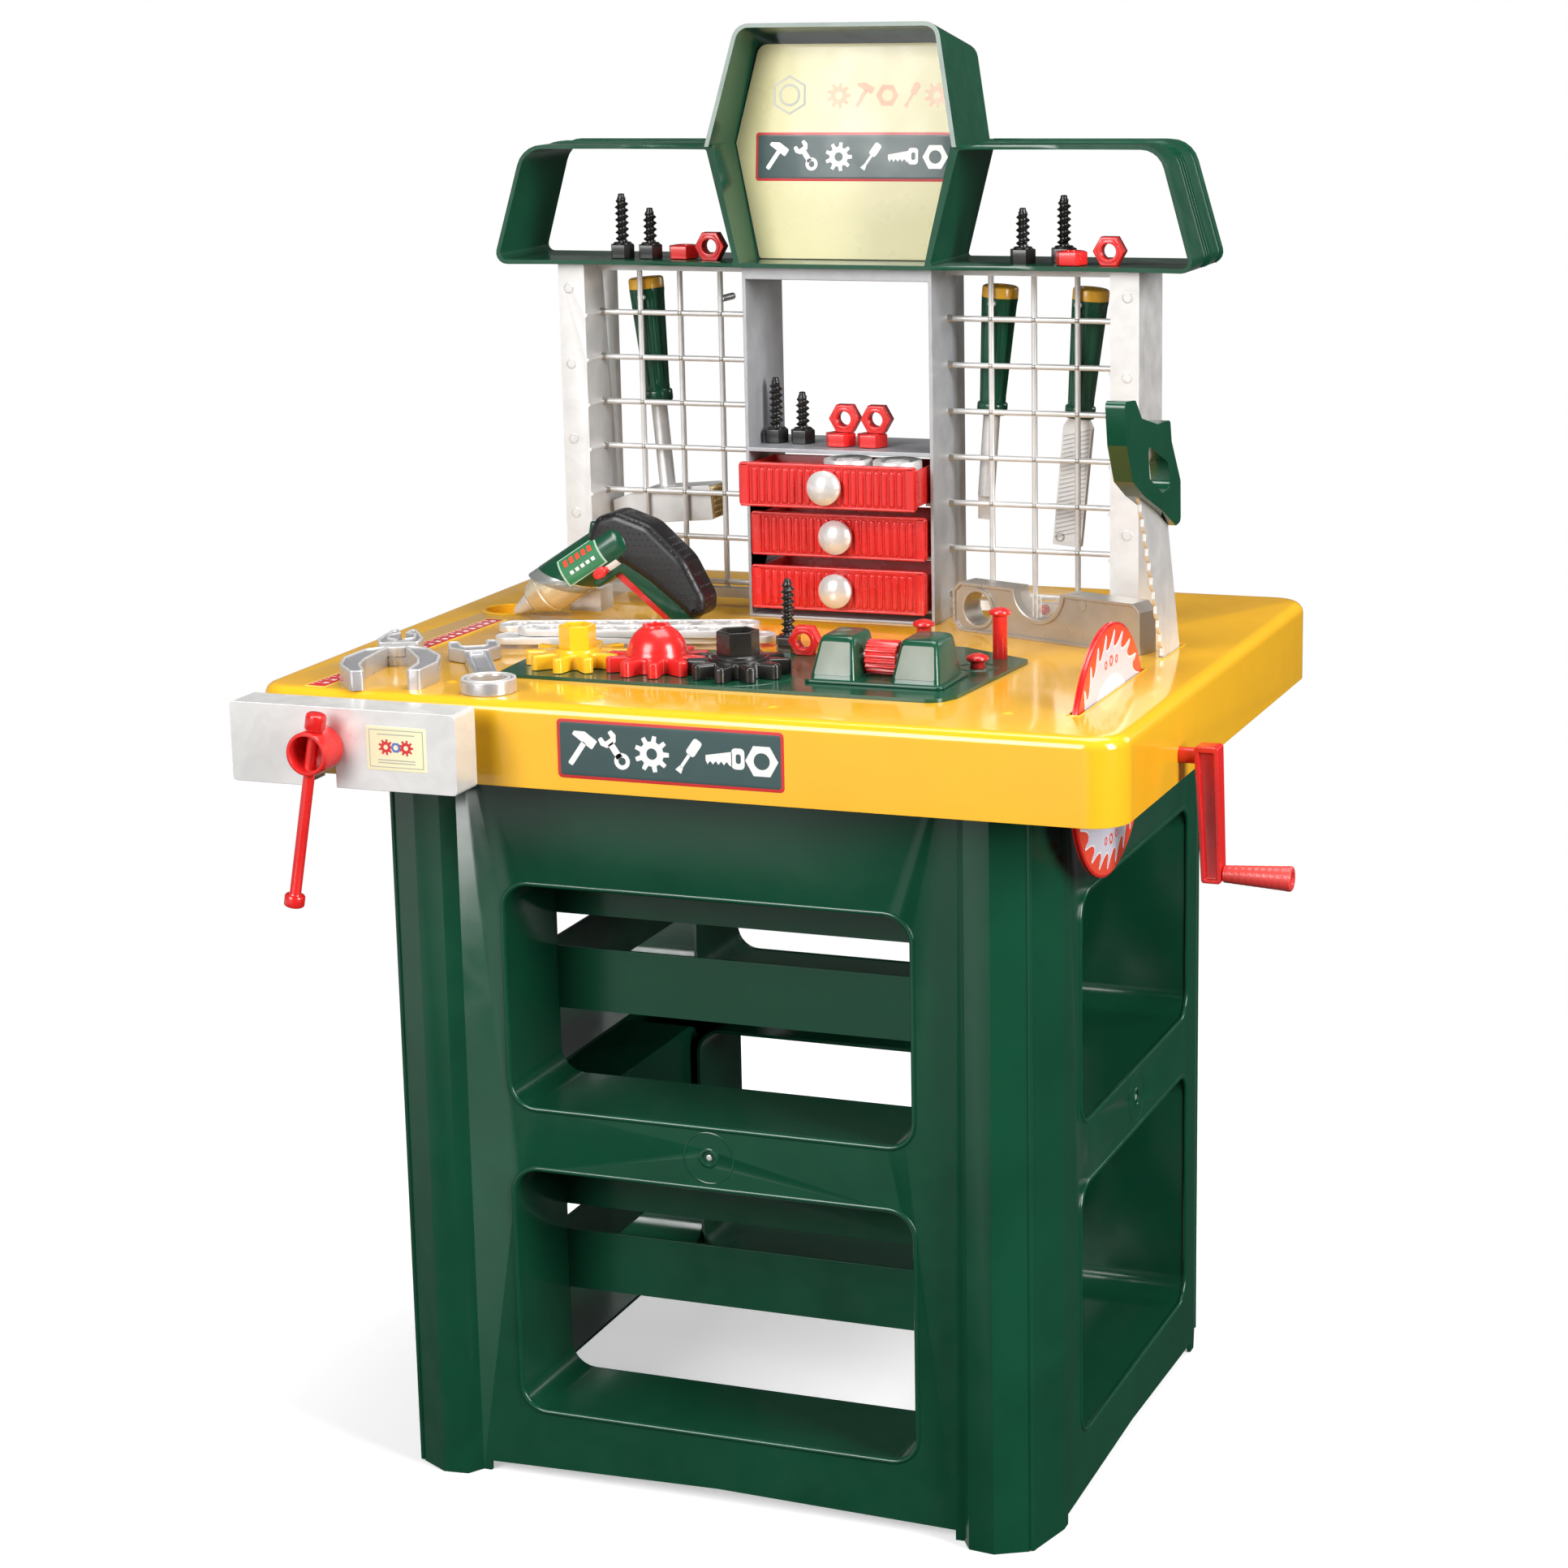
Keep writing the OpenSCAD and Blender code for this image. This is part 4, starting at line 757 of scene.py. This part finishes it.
# vise: hollow knob, threaded screw, bar with caps, sticker
back = T(VISE_X, 0, VISE_Z) @ TO_FRONT
knob = [(0, 296.6), (7, 296.2), (13.6, 295.5), (14.4, 296.2), (14.5, 297.2), (14.5, 319.2), (14.0, 320.2),
        (13.2, 320.4), (12.0, 320.3), (11.6, 319.6), (11.5, 300), (0, 299.4)]
shaft = move(thread(5.6, 7.0, 0, 60, 6), T(VISE_X, JAW_FRONT + 0.2, VISE_Z) @ ALONG_Y)
piece("vise_screw_look", at("vise_screw"), [("red", [move(lathe(knob, 48), back), shaft])], "vise_screw")
bar = [(0, -106.1), (5.6, -106.1), (6.6, -105.4), (6.8, -104.6), (6.8, -99.2), (6.2, -98.3), (4.4, -98),
       (3.8, -96.8), (3.8, 14.2), (4.4, 14.8), (6.2, 15.1), (6.8, 16), (6.8, 23.6), (6.3, 25.2),
       (5.2, 25.9), (0, 25.9)]
piece("vise_bar_look", at("vise_bar"),
      [("red", [move(lathe(bar, 32), T(VISE_X, -311.5, VISE_Z) @ R("Y", 10.5))])], "vise_bar")
jaw = T(0, JAW_FRONT, 0) @ TO_FRONT
frame_line = prism([rrect(-188, 529, -149, 554, 0.5), rrect(-187.4, 529.6, -149.6, 553.4, 0.4)], 0.2, 0.27)
bars = [prism(rrect(-182, z, -155, z + 0.7, 0.2, 1), 0.2, 0.27) for z in (550.5, 533.6, 531.8)]
cogs = icon("gear", -176, 542.5, 11, 0.2, 0.35) + icon("gear", -161.5, 542.5, 11, 0.2, 0.35)
sticker = [("cream", [move(prism(rrect(-190, 527, -147, 556, 1.2), -0.2, 0.22, 0.05), jaw)]),
           ("printgrey", move_all([frame_line] + bars, jaw)), ("border", move_all(cogs, jaw)),
           ("blue", move_all(icon("nut", -168.8, 542.5, 8, 0.2, 0.38), jaw))]
piece("jaw_sticker", at("vise_jaw"), sticker)

# backboard: small nodes where the wires cross, collars where they meet the post
nodes = []
for sx in (-1, 1):
    for i in range(1, 8):
        z = 813 - 32.7 * i
        for x in (102.6, 134.3, 165.9):
            nodes.append(ball(2.7, (sx * x, GRID_Y, z), 10, 0.9))
        side = ALONG_X if sx > 0 else MIRROR_X @ ALONG_X
        for x, r0, r1 in ((71, 3.2, 2.1), (194, 2.1, 3.2)):
            nodes.append(move(lathe([(0, 0), (r0, 0), (r1, 3.5), (0, 3.5)], 10), T(sx * x, GRID_Y, z) @ side))
piece("grid_nodes", "bench", [("wire", nodes)])

# drawers and knobs
for drawer, height, opened in (("top", 667, 22), ("middle", 628.5, 1), ("bottom", 590, 2.5)):
    y = 71 - opened
    front = T(0, y, height) @ TO_FRONT
    solids = [move(prism(rrect(-66.75, -15.75, 66.75, 15.75, 3), 0, 2.9, 0.6), front)]
    solids.append(move(prism(rrect(-65.6, 13.0, 65.6, 15.75, 1.2), 2.4, 4, 0.7), front))
    solids.append(move(prism(rrect(-65.6, -15.75, 65.6, -13.9, 0.9), 2.4, 4, 0.6), front))
    for sx in (-1, 1):
        x0, x1 = sorted((sx * 58.6, sx * 66.2))
        solids.append(move(prism(rrect(x0, -15.2, x1, 15.3, 2.4), 2.4, 4, 1.1), front))
    for k in range(20):
        x = -54.6 + 109.2 * k / 19
        solids.append(move(prism(rrect(x - 2.2, -13.2, x + 2.2, 12.4, 2.1), 2.0, 3.95, 1.3), front))
    outer, inner = rrect(-65.6, y - 1, 65.6, y + 62, 1.5), rrect(-63.6, y + 1, 63.6, y + 60, 1)
    solids += [prism([outer, inner], height - 13, height + 12.5, 0.5, bottom=False),
               prism(inset(outer, 0.2), height - 13, height - 11, 0)]
    piece("drawer_" + drawer + "_look", at("drawer_" + drawer), [("red", solids)], "drawer_" + drawer)
    knob = [(0, -4), (3, -4), (3, 0.2), (8.6, 0.2), (9.2, 0.5)]
    knob += arc_pts(4.25, 4.5, 8, -24, 14, 5) + arc_pts(0, -4, 16.2, 41, 90, 10)
    piece("knob_" + drawer + "_look", at("knob_" + drawer),
          [("knob", [move(lathe(knob, 56), T(0, y - 4, height) @ TO_FRONT)])], "knob_" + drawer)
wheels = []
for x in (8, 45):
    prof = [(5.1, 0.4), (16.8, 0), (17.5, 0.8), (17.5, 27.4), (16.9, 28.4), (15.6, 28.5), (14.9, 27.7),
            (14.6, 25.6), (9, 25.3), (8.6, 27.4), (7.9, 28), (5.8, 28), (5.1, 27.2)]
    wheels.append(move(lathe(prof, 44), T(x, 69, 656)))
piece("drawer_washers_look", at("drawer_washers"), [("silver", wheels)], "drawer_washers")

# shelf: raised lines along the seam of the two shells
lines = []
outer = rounded([(-262, 818), (262, 818), (237, 903), (-237, 903)], [8, 8, 20, 20], 6)
right = [p for p in outer if p[0] > 100 and p[1] > 818.5]
for sx in (-1, 1):
    for y in (98, 104, 110, 136):
        path = [(sx * (x + (0.15 if z < 900 else 0)), y, z) for x, z in right] + [(sx * 96, y, 903)]
        lines.append(tube(path, 0.75 if y != 104 else 0.9, 8))
piece("shelf_lines", "bench", [("green", lines)])
sign = T(0, 98, SHELF_Z) @ R("X", -6) @ TO_FRONT
sheet_pts = rounded([(-68, 0.5), (68, 0.5), (87.5, 81.5), (71, 150.5), (-71, 150.5), (-87.5, 81.5)],
                    [2, 2, 2, 8, 8, 2], 5)
emblem = [prism([hexa(14, pi / 6), hexa(12.2, pi / 6)], 0, 0.12), ring(6.2, 8, 0, 0.12, 0, 28)]
prints = []
for i, kind in enumerate(("gear", "hammer", "nut", "driver", "gear")):
    prints += icon(kind, -10 + 18.2 * i, 114.5, 18.5, 0, 0.12, -30 if kind in ("hammer", "driver") else 0)
piece("sign_look", "bench",
      [("paper", [move(prism(sheet_pts, -2, 0, 0.3), sign)]),
       ("printgrey", move_all(emblem, sign @ T(-47, 115, 0))),
       ("pink", move_all(prints, sign)),
       ("border", [move(prism(rrect(-72, 55, 79, 89, 2.5), -0.1, 0.14, 0.05), sign)]),
       ("teal", [move(prism(rrect(-70.2, 56.8, 79, 87.2, 1.5), 0.1, 0.3, 0.05), sign)]),
       ("white", move_all(icon_row(-57, 72, 24, 21, 0.3, 0.42), sign))], "sign_panel")

# bolts and nuts
solids = []
for x, y, z, h in ((-172, 92, SHELF_Z, 46), (-150, 92, SHELF_Z, 36), (131, 92, SHELF_Z, 38),
                   (157, 104, SHELF_Z, 46), (-58.5, 100, CABINET_Z, 47), (-38, 100, CABINET_Z, 37),
                   (2.8, -40, TABLE_Z, 50)):
    m = T(x, y, z)
    solids += [move(prism(hexa(9.2), 0, 10, 0.7, 3), m),
               move(lathe([(0, 9), (6.6, 9), (6.6, 10.9), (6, 11.4), (0, 11.4)], 24), m),
               move(thread(3.0, 5.1, 11, h - 2.6, 4.5), m),
               move(lathe([(0, h - 3.4), (2.6, h - 3.4), (2.3, h - 0.5), (1.8, h), (0, h)], 18), m)]
piece("toy_bolts_look", "bench", [("black", solids)], "toy_bolts")
solids = []
flat = 11.4 * cos(pi / 6)
for x, y, z, edge in ((-124, 92, SHELF_Z, 0), (-99, 84, SHELF_Z, 1), (169, 82, SHELF_Z, 0),
                      (196, 84, SHELF_Z, 1), (-6, 92, CABINET_Z, 0), (18, 92, CABINET_Z, 0),
                      (-2, 92, 699.7, 1), (22, 92, 699.7, 1), (24, -62, MAT_Z, 1)):
    m = T(x, y - 5, z + flat) @ R("X", -90) if edge else T(x, y, z)
    solids += [move(prism([hexa(11.4), circle(5.5, 30)], 0.4, 9.6, 0.8, 3), m),
               move(ring(5.4, 8.2, 0, 10, 0.6, 30), m)]
piece("toy_nuts_look", "bench", [("red", solids)], "toy_nuts")

# perforated strips: rims along the edge and round each hole
solids = []
for x, y, a, length, dz in ((-128, -15, 17, 186, 0), (-106, -54, 17, 196, 0), (-105, -56, 13, 166, 5.2)):
    m = T(x, y, 569.7 + dz) @ R("Z", a)
    out = rrect(-length / 2, -11, length / 2, 11, 10.8, 8)
    solids += [move(prism([out, inset(out, 1.7)], 0, 5, 0.5), m)]
    holes = [circle(5.3, 20, 19 * k, 0) for k in range(-4, 5)]
    solids += [move(prism([inset(out, 1.4)] + holes, 0.7, 4.0, 0), m)]
    rim = prism([circle(6.9, 24), circle(5.2, 24)], 0.1, 4.9, 0.4)
    solids += [move(rim, m @ T(19 * k, 0, 0)) for k in range(-4, 5)]
piece("strips_look", at("perforated_strips"), [("silver", solids)], "perforated_strips")

# raised rims on the pliers and the spanner
HANDLE = rounded([(4, -5), (22, -16), (33, -42), (33, -66), (23, -93), (13.5, -91), (18.5, -66), (17, -50),
                  (8, -18)], [2, 10, 10, 16, 3, 3, 16, 14, 4], 5)
JAW = rounded([(-3, 2), (-1.2, 18), (-8, 22), (-8, 34), (-1.2, 40), (-4, 53), (-9, 50), (-16, 20), (-14, 4)],
              [1, 2, 3, 3, 2, 2, 2, 6, 3], 5)
pivot = T(-239.4, -153.2, TABLE_Z) @ R("Z", 22.2)
for node, flip in (("pliers_lower_half", False), ("pliers_upper_half", True)):
    m = pivot @ MIRROR_X if flip else pivot
    rims = [move(prism([shrink(l, 0.3), shrink(l, 2.0)], 12.3, 13.6, 0.4, 2), m) for l in (HANDLE, JAW)]
    if flip:
        rims += [move(ring(4.4, 12.6, 12.3, 13.4, 0.4), m), move(ring(0.01, 3.8, 12.3, 13.2, 0.3), m)]
    piece(node + "_rim", at(node), [("silver", rims)])
spanner = T(-136.8, -222.7, TABLE_Z) @ R("Z", 31)
SPANNER = rounded([(-8, 12), (8, 12), (8.5, 96), (18, 108), (17, 130), (9, 130), (8, 112), (-8, 112),
                   (-9, 130), (-17, 130), (-18, 108), (-8.5, 96)], [0, 0, 6, 4, 3, 2, 4, 4, 2, 3, 4, 6], 4)
ends = [p for p in SPANNER if p[1] > 17]
piece("spanner_rim", at("spanner"),
      [("silver", [move(ring(16.4, 18.3, 8.6, 9.8, 0.4), spanner),
                   move(ring(12.7, 14.6, 8.6, 9.8, 0.4), spanner),
                   move(prism([shrink(ends, 0.3), shrink(ends, 1.9)], 8.6, 9.7, 0.35), spanner)])])

# spirit level
level = T(88, 60, TABLE_Z) @ R("Z", -19.6)
arcs = [(74 + 20.6 * cos(rad(a)), 0.7, 35 + 20.6 * sin(rad(a))) for a in range(181, 360, 8)]
plug = move(lathe([(0, -3), (4.2, -3), (4.2, 0.1), (3.8, 0.5), (2.6, 0.5), (2.4, 0.1), (0, 0.1)], 28),
            T(111, 1.6, 28.5) @ TO_FRONT)
collar = move(lathe([(11.9, -18.5), (14.2, -18.5), (14.2, -0.2), (13.8, 0.3), (13.1, 0.5), (12.6, 0.4),
                     (11.9, -0.4)], 44), T(22, 0.4, 17.5) @ TO_FRONT)
piece("level_trim", at("level_body"),
      [("warm", move_all([tube(arcs, 0.9, 8), plug, collar, rbox(98, 2.2, 30, 104, 17, 35.2, 0.3)], level))])
lines = [rbox(74 + dx - 0.3, 0.75, 16 + abs(dx) * 0.3, 74 + dx + 0.3, 0.95, 33, 0.05)
         for dx in (-3.4, 0, 3.4)]
piece("level_lines", at("level_vial"), [("white", move_all(lines, level))])
piece("level_ball_look", at("level_ball"),
      [("ball", [move(ball(3.8, (0, 0, 0), 24), level @ T(74, 9.5, 20.8))])], "level_ball")


# hanging tools
def flutes(a, z):
    """Nine shallow grooves along the handle, which fade out at both ends."""
    if z > -10.5 or z < -80:
        return 1.0
    k = min(1, (-10.5 - z) / 3, (z + 80) / 3)
    return 1 - 0.11 * k * (0.5 - 0.5 * cos(9 * a)) ** 2


HANG = {tool: T(x, HANG_Y, z) @ R("Y", lean) for tool, x, z, lean in (
    ("hammer", -168.3, 804.5, -4.9), ("screwdriver", 104.6, 802.5, 4.5), ("file", 171.1, 801.5, 5.5))}
for tool, m in HANG.items():
    body = [(0, -8.2), (12.9, -8.2), (12.9, -9.5)]
    body += [(12.8 - 3.5 * (i / 18), -10.6 - 70 * i / 18) for i in range(19)]
    body += [(9.2, -82.2), (10.6, -83.3), (10.8, -84), (10.8, -89.6), (10.2, -91.2), (0, -91.5)]
    cap = [(0, -1.1), (6.5, -1.1), (7.2, -0.1), (11.2, 0), (12.5, -0.8), (12.9, -2), (12.9, -8.0),
           (12.2, -8.6), (0, -8.6)]
    piece(tool + "_handle_look", at(tool + "_handle"),
          [("green", [move(lathe(body, 72, flutes), m)]), ("cap", [move(lathe(cap, 48), m)])],
          tool + "_handle")
face = [rbox(38.4, -11.3, -178.3, 39.9, 11.3, -155.2, 0.5)]
for i in range(5):
    for j in range(5):
        y, z = 4.1 * i, 4.3 * j
        face.append(rbox(39.5, -9.6 + y, -176.9 + z, 40.5, -6.9 + y, -174 + z, 0.3))
piece("hammer_face", at("hammer_head"), [("gold", move_all(face, HANG["hammer"]))])
cuts = []
for i in range(24):
    z = -178 + 3.15 * i
    cuts.append(move(prism([(-9.3, z), (9.3, z + 6.5), (9.3, z + 7.3), (-9.3, z + 0.8)], 0, 0.5),
                     HANG["file"] @ T(0, -3, 0) @ TO_FRONT))
cuts.append(move(ring(2.2, 3.4, -0.1, 0.5, 0.2, 20), HANG["file"] @ T(-5.6, -3, -177.2) @ TO_FRONT))
piece("file_cuts", at("file_blade"), [("wire", cuts)])

# power screwdriver
barrel = T(-213, 30, 585.3) @ R("Y", 57)


def slant(solid, z0, z1, k):
    """Slides the points between z0 and z1 along the barrel, more on its lower side."""
    pts = [(x, y, z + k * x / 17.5 * max(0, min(1, (z1 - z) / (z1 - z0)))) for x, y, z in solid[0]]
    return pts, solid[1]


nose = lathe([(0, -31), (1.6, -31), (2.2, -30.4), (3.4, -28), (7.4, -15.4), (8.2, -14.6), (8.2, -13.4),
              (6.4, -13.2), (0, -13)], 40)
piece("driver_nose_look", at("driver_nose"), [("silver", [move(nose, barrel)])], "driver_nose")
dark = lathe([(0, -13), (9.6, -13), (9.9, -11.8), (0, -11)], 44)
gold = lathe([(0, -12.4), (10.6, -12.2), (11.2, -11.2), (13.2, -6.6), (16.6, 0.4), (17.0, 1.4), (17.0, 2.0),
              (16.7, 2.3), (16.7, 3.2), (17.0, 3.5), (17.35, 5), (17.5, 8), (17.5, 40), (0, 40)], 64)
seg = lathe([(0, 12), (17.6, 12), (17.75, 12.4), (17.75, 22), (17.6, 22.4), (0, 22.4)], 64)
seg = slant(seg, 11, 60, 16)
shell = lathe([(0, 22), (17.7, 22), (17.95, 22.4), (17.95, 76), (17.2, 79), (14.5, 82.5), (11, 84),
               (0, 84)], 64)
shell = slant(shell, 21, 60, 16)
HOUSING = rounded([(-178, 612), (-172, 640), (-150, 640), (-122, 612), (-92, 574), (-97, 568.5),
                   (-107, 567.2), (-150, 604), (-158, 597), (-170, 590)], [2, 2, 10, 30, 4, 4, 4, 4, 4, 4], 5)
hull = move(prism(HOUSING, 19.2, 40.8, 2.6, 4), ALONG_Y)
GRIP = rounded([(-176, 622), (-167, 643), (-151, 648.5), (-125, 640), (-98, 616), (-83, 588), (-84, 576),
                (-95, 572.5), (-104, 581), (-126, 598), (-146, 610), (-168, 614)],
               [6, 10, 14, 20, 30, 12, 6, 3, 20, 30, 12, 6], 6)
label = wrap(18.0, -132, -62, 26, 62, 0.12)
panel = wrap(18.0, -56, -22, 48, 68, 0.14)
middle = wrap(18.1, -129, -65, 27.5, 60.5, 0.12)
marks = [wrap(18.25, -122 + 0.5 * i, -106, 31 + 5.6 * i, 34.6 + 5.6 * i, 0.1, 4) for i in range(5)]
ticks = [wrap(18.25, -92, -84, 33 + 5 * i, 36 + 5 * i, 0.1, 3) for i in range(5)]
dots = [wrap(18.2, -46, -38, 53, 58, 0.12, 3), wrap(18.2, -36, -30, 58, 62, 0.12, 3)]
piece("driver_body_look", at("driver_body"),
      [("green", [move(shell, barrel), hull]), ("champagne", [move(gold, barrel)]),
       ("rubber", [move(dark, barrel)]), ("seg", [move(seg, barrel)]), ("mint", [move(label, barrel)]),
       ("leaf", [move(middle, barrel)]), ("white", move_all([panel] + ticks, barrel)),
       ("orange", move_all(marks, barrel)), ("border", [move(dots[0], barrel)]),
       ("blue", [move(dots[1], barrel)])], "driver_body")
grip = [move(prism(GRIP, 15, 45, 6.5, 5), ALONG_Y)]
inner = shrink(GRIP, 6)
dot = lathe([(0, -0.45), (0.55, -0.3), (0.95, 0), (0.95, 0.4), (0, 0.4)], 6)
for i in range(-2, 26):
    for j in range(-2, 22):
        x, z = -180 + 4.4 * i + 2.2 * (j % 2), 566 + 4.2 * j
        if inside(inner, x, z):
            for y, turn in ((15.1, -90), (44.9, 90)):
                grip.append(move(dot, T(x, y, z) @ R("X", turn)))
piece("driver_grip_look", at("driver_grip"), [("rubber", grip)], "driver_grip")
oval = [(5.6 * cos(2 * pi * i / 28), 3.9 * sin(2 * pi * i / 28)) for i in range(28)]
thumb = T(-162, 0, 604) @ R("Y", -38)
button = [move(prism(oval, 10.6, 17, 0.9), thumb @ ALONG_Y),
          move(rbox(-3.6, -0.45, 10.1, 3.6, 0.45, 11, 0.2), thumb @ ALONG_Y)]
piece("driver_button_look", at("driver_button"), [("red", button)], "driver_button")

# CAD nodes that need only rounded edges: material and width of the rounding
COPIES = {
    "front_panel": ("green", 1.1), "back_panel": ("green", 1.1), "left_panel": ("green", 1.1),
    "right_panel": ("green", 1.1), "table_top": ("yellow", 1.0), "work_mat": ("green", 0.7),
    "ridged_roller": ("red", 0.3), "roller_pin": ("silver", 0.0), "gear_pins": ("silver", 0.4),
    "crank_arm": ("red", 1.2), "vise_jaw": ("jaw", 2.2), "vise_guides": ("silver", 0.5),
    "left_grid_frame": ("silver", 0.4), "right_grid_frame": ("silver", 0.4),
    "drawer_cabinet": ("grey", 0.5), "shelf_front_shell": ("green", 0.9),
    "shelf_rear_shell": ("green", 0.9), "pliers_lower_half": ("tool", 1.2),
    "pliers_upper_half": ("tool", 1.2), "spanner": ("tool", 1.0), "level_body": ("warm", 0.8),
    "level_vial": ("clear", 0.4), "hand_saw_blade": ("silver", 0.4), "hand_saw_handle": ("green", 2.5),
    "hammer_head": ("silver", 1.2), "screwdriver_blade": ("silver", 0.5), "file_blade": ("silver", 0.4),
    "driver_trigger": ("red", 0.8),
}
for node, (key, width) in COPIES.items():
    soft_copy(node, key, width)


# ---------------------------------------------------------------- stage
def stage_set():
    """Pale floor and white background; the gloss mirrors white behind, dark at the right and low in front."""
    world = bpy.data.worlds.new("studio")
    world.use_nodes = True
    tree = world.node_tree
    co = tree.nodes.new("ShaderNodeTexCoord")
    xyz = tree.nodes.new("ShaderNodeSeparateXYZ")
    tree.links.new(co.outputs["Generated"], xyz.inputs[0])

    def blend(fac, a, b):
        mix = tree.nodes.new("ShaderNodeMix")
        for socket, value in zip((mix.inputs[0], mix.inputs[2], mix.inputs[3]), (fac, a, b)):
            if isinstance(value, float):
                socket.default_value = value
            else:
                tree.links.new(value, socket)
        return mix.outputs[0]

    # how bright the surroundings are in each direction
    front = ranged(tree, xyz.outputs[2], -0.37, -0.2, 0.02, 0.8)
    over = ranged(tree, xyz.outputs[0], -0.5, -0.34, 0.14, 0.06)
    behind = ranged(tree, xyz.outputs[0], -0.5, -0.2, 0.5, 0.14)
    value = blend(ranged(tree, xyz.outputs[1], 0.35, -0.1, 0, 1), behind, front)
    value = blend(ranged(tree, xyz.outputs[0], -0.05, 0.2, 0, 1), value, 0.03)
    value = blend(ranged(tree, xyz.outputs[2], -0.02, 0.12, 0, 1), value, over)
    path = tree.nodes.new("ShaderNodeLightPath")
    background = tree.nodes["Background"]
    background.inputs[0].default_value = (1, 1, 1, 1)
    tree.links.new(blend(path.outputs["Is Camera Ray"], value, 1.0), background.inputs[1])
    bpy.context.scene.world = world

    bpy.ops.mesh.primitive_circle_add(vertices=96, radius=1.3, fill_type="NGON", location=(0, 0, -0.0005))
    floor = bpy.context.object
    floor.name = "floor"
    floor.visible_glossy = False
    floor.visible_diffuse = False
    mat, ft, bsdf = material("pale floor")
    where = ft.nodes.new("ShaderNodeTexCoord").outputs["Object"]
    reach = ft.nodes.new("ShaderNodeVectorMath")
    reach.operation = "LENGTH"
    ft.links.new(where, reach.inputs[0])
    bsdf.inputs["Base Color"].default_value = (0.85, 0.85, 0.85, 1)
    bsdf.inputs["Roughness"].default_value = 0.9
    bsdf.inputs["Emission Color"].default_value = (1, 1, 1, 1)
    bsdf.inputs["Emission Strength"].default_value = 0.45
    ft.links.new(ranged(ft, reach.outputs["Value"], 0.45, 1.2, 1, 0), bsdf.inputs["Alpha"])
    floor.data.materials.append(mat)

    def area(name, pos, target, size, power, size_y=None, spread=180):
        light = bpy.data.lights.new(name, "AREA")
        light.energy = power
        light.shape = "RECTANGLE"
        light.size = size
        light.size_y = size_y or size
        light.spread = rad(spread)
        lamp = bpy.data.objects.new(name, light)
        lamp.location = pos
        lamp.rotation_euler = (Vector(target) - Vector(pos)).to_track_quat("-Z", "Y").to_euler()
        bpy.context.scene.collection.objects.link(lamp)

    area("key", (-0.9, -2.7, 1.9), (0, 0, 0.6), 1.5, 20, 1.8, 80)
    area("fill", (2.6, -0.9, 1.5), (0, 0, 0.5), 1.0, 100, 1.8)
    area("top", (0.2, 0.3, 2.8), (0, 0, 0.6), 1.6, 46)
    area("back", (2.1, 2.5, 1.6), (0, 0, 0.6), 1.2, 18)
    view = bpy.context.scene.view_settings
    view.view_transform = "Standard"
    view.exposure = 0.0


stage_set()
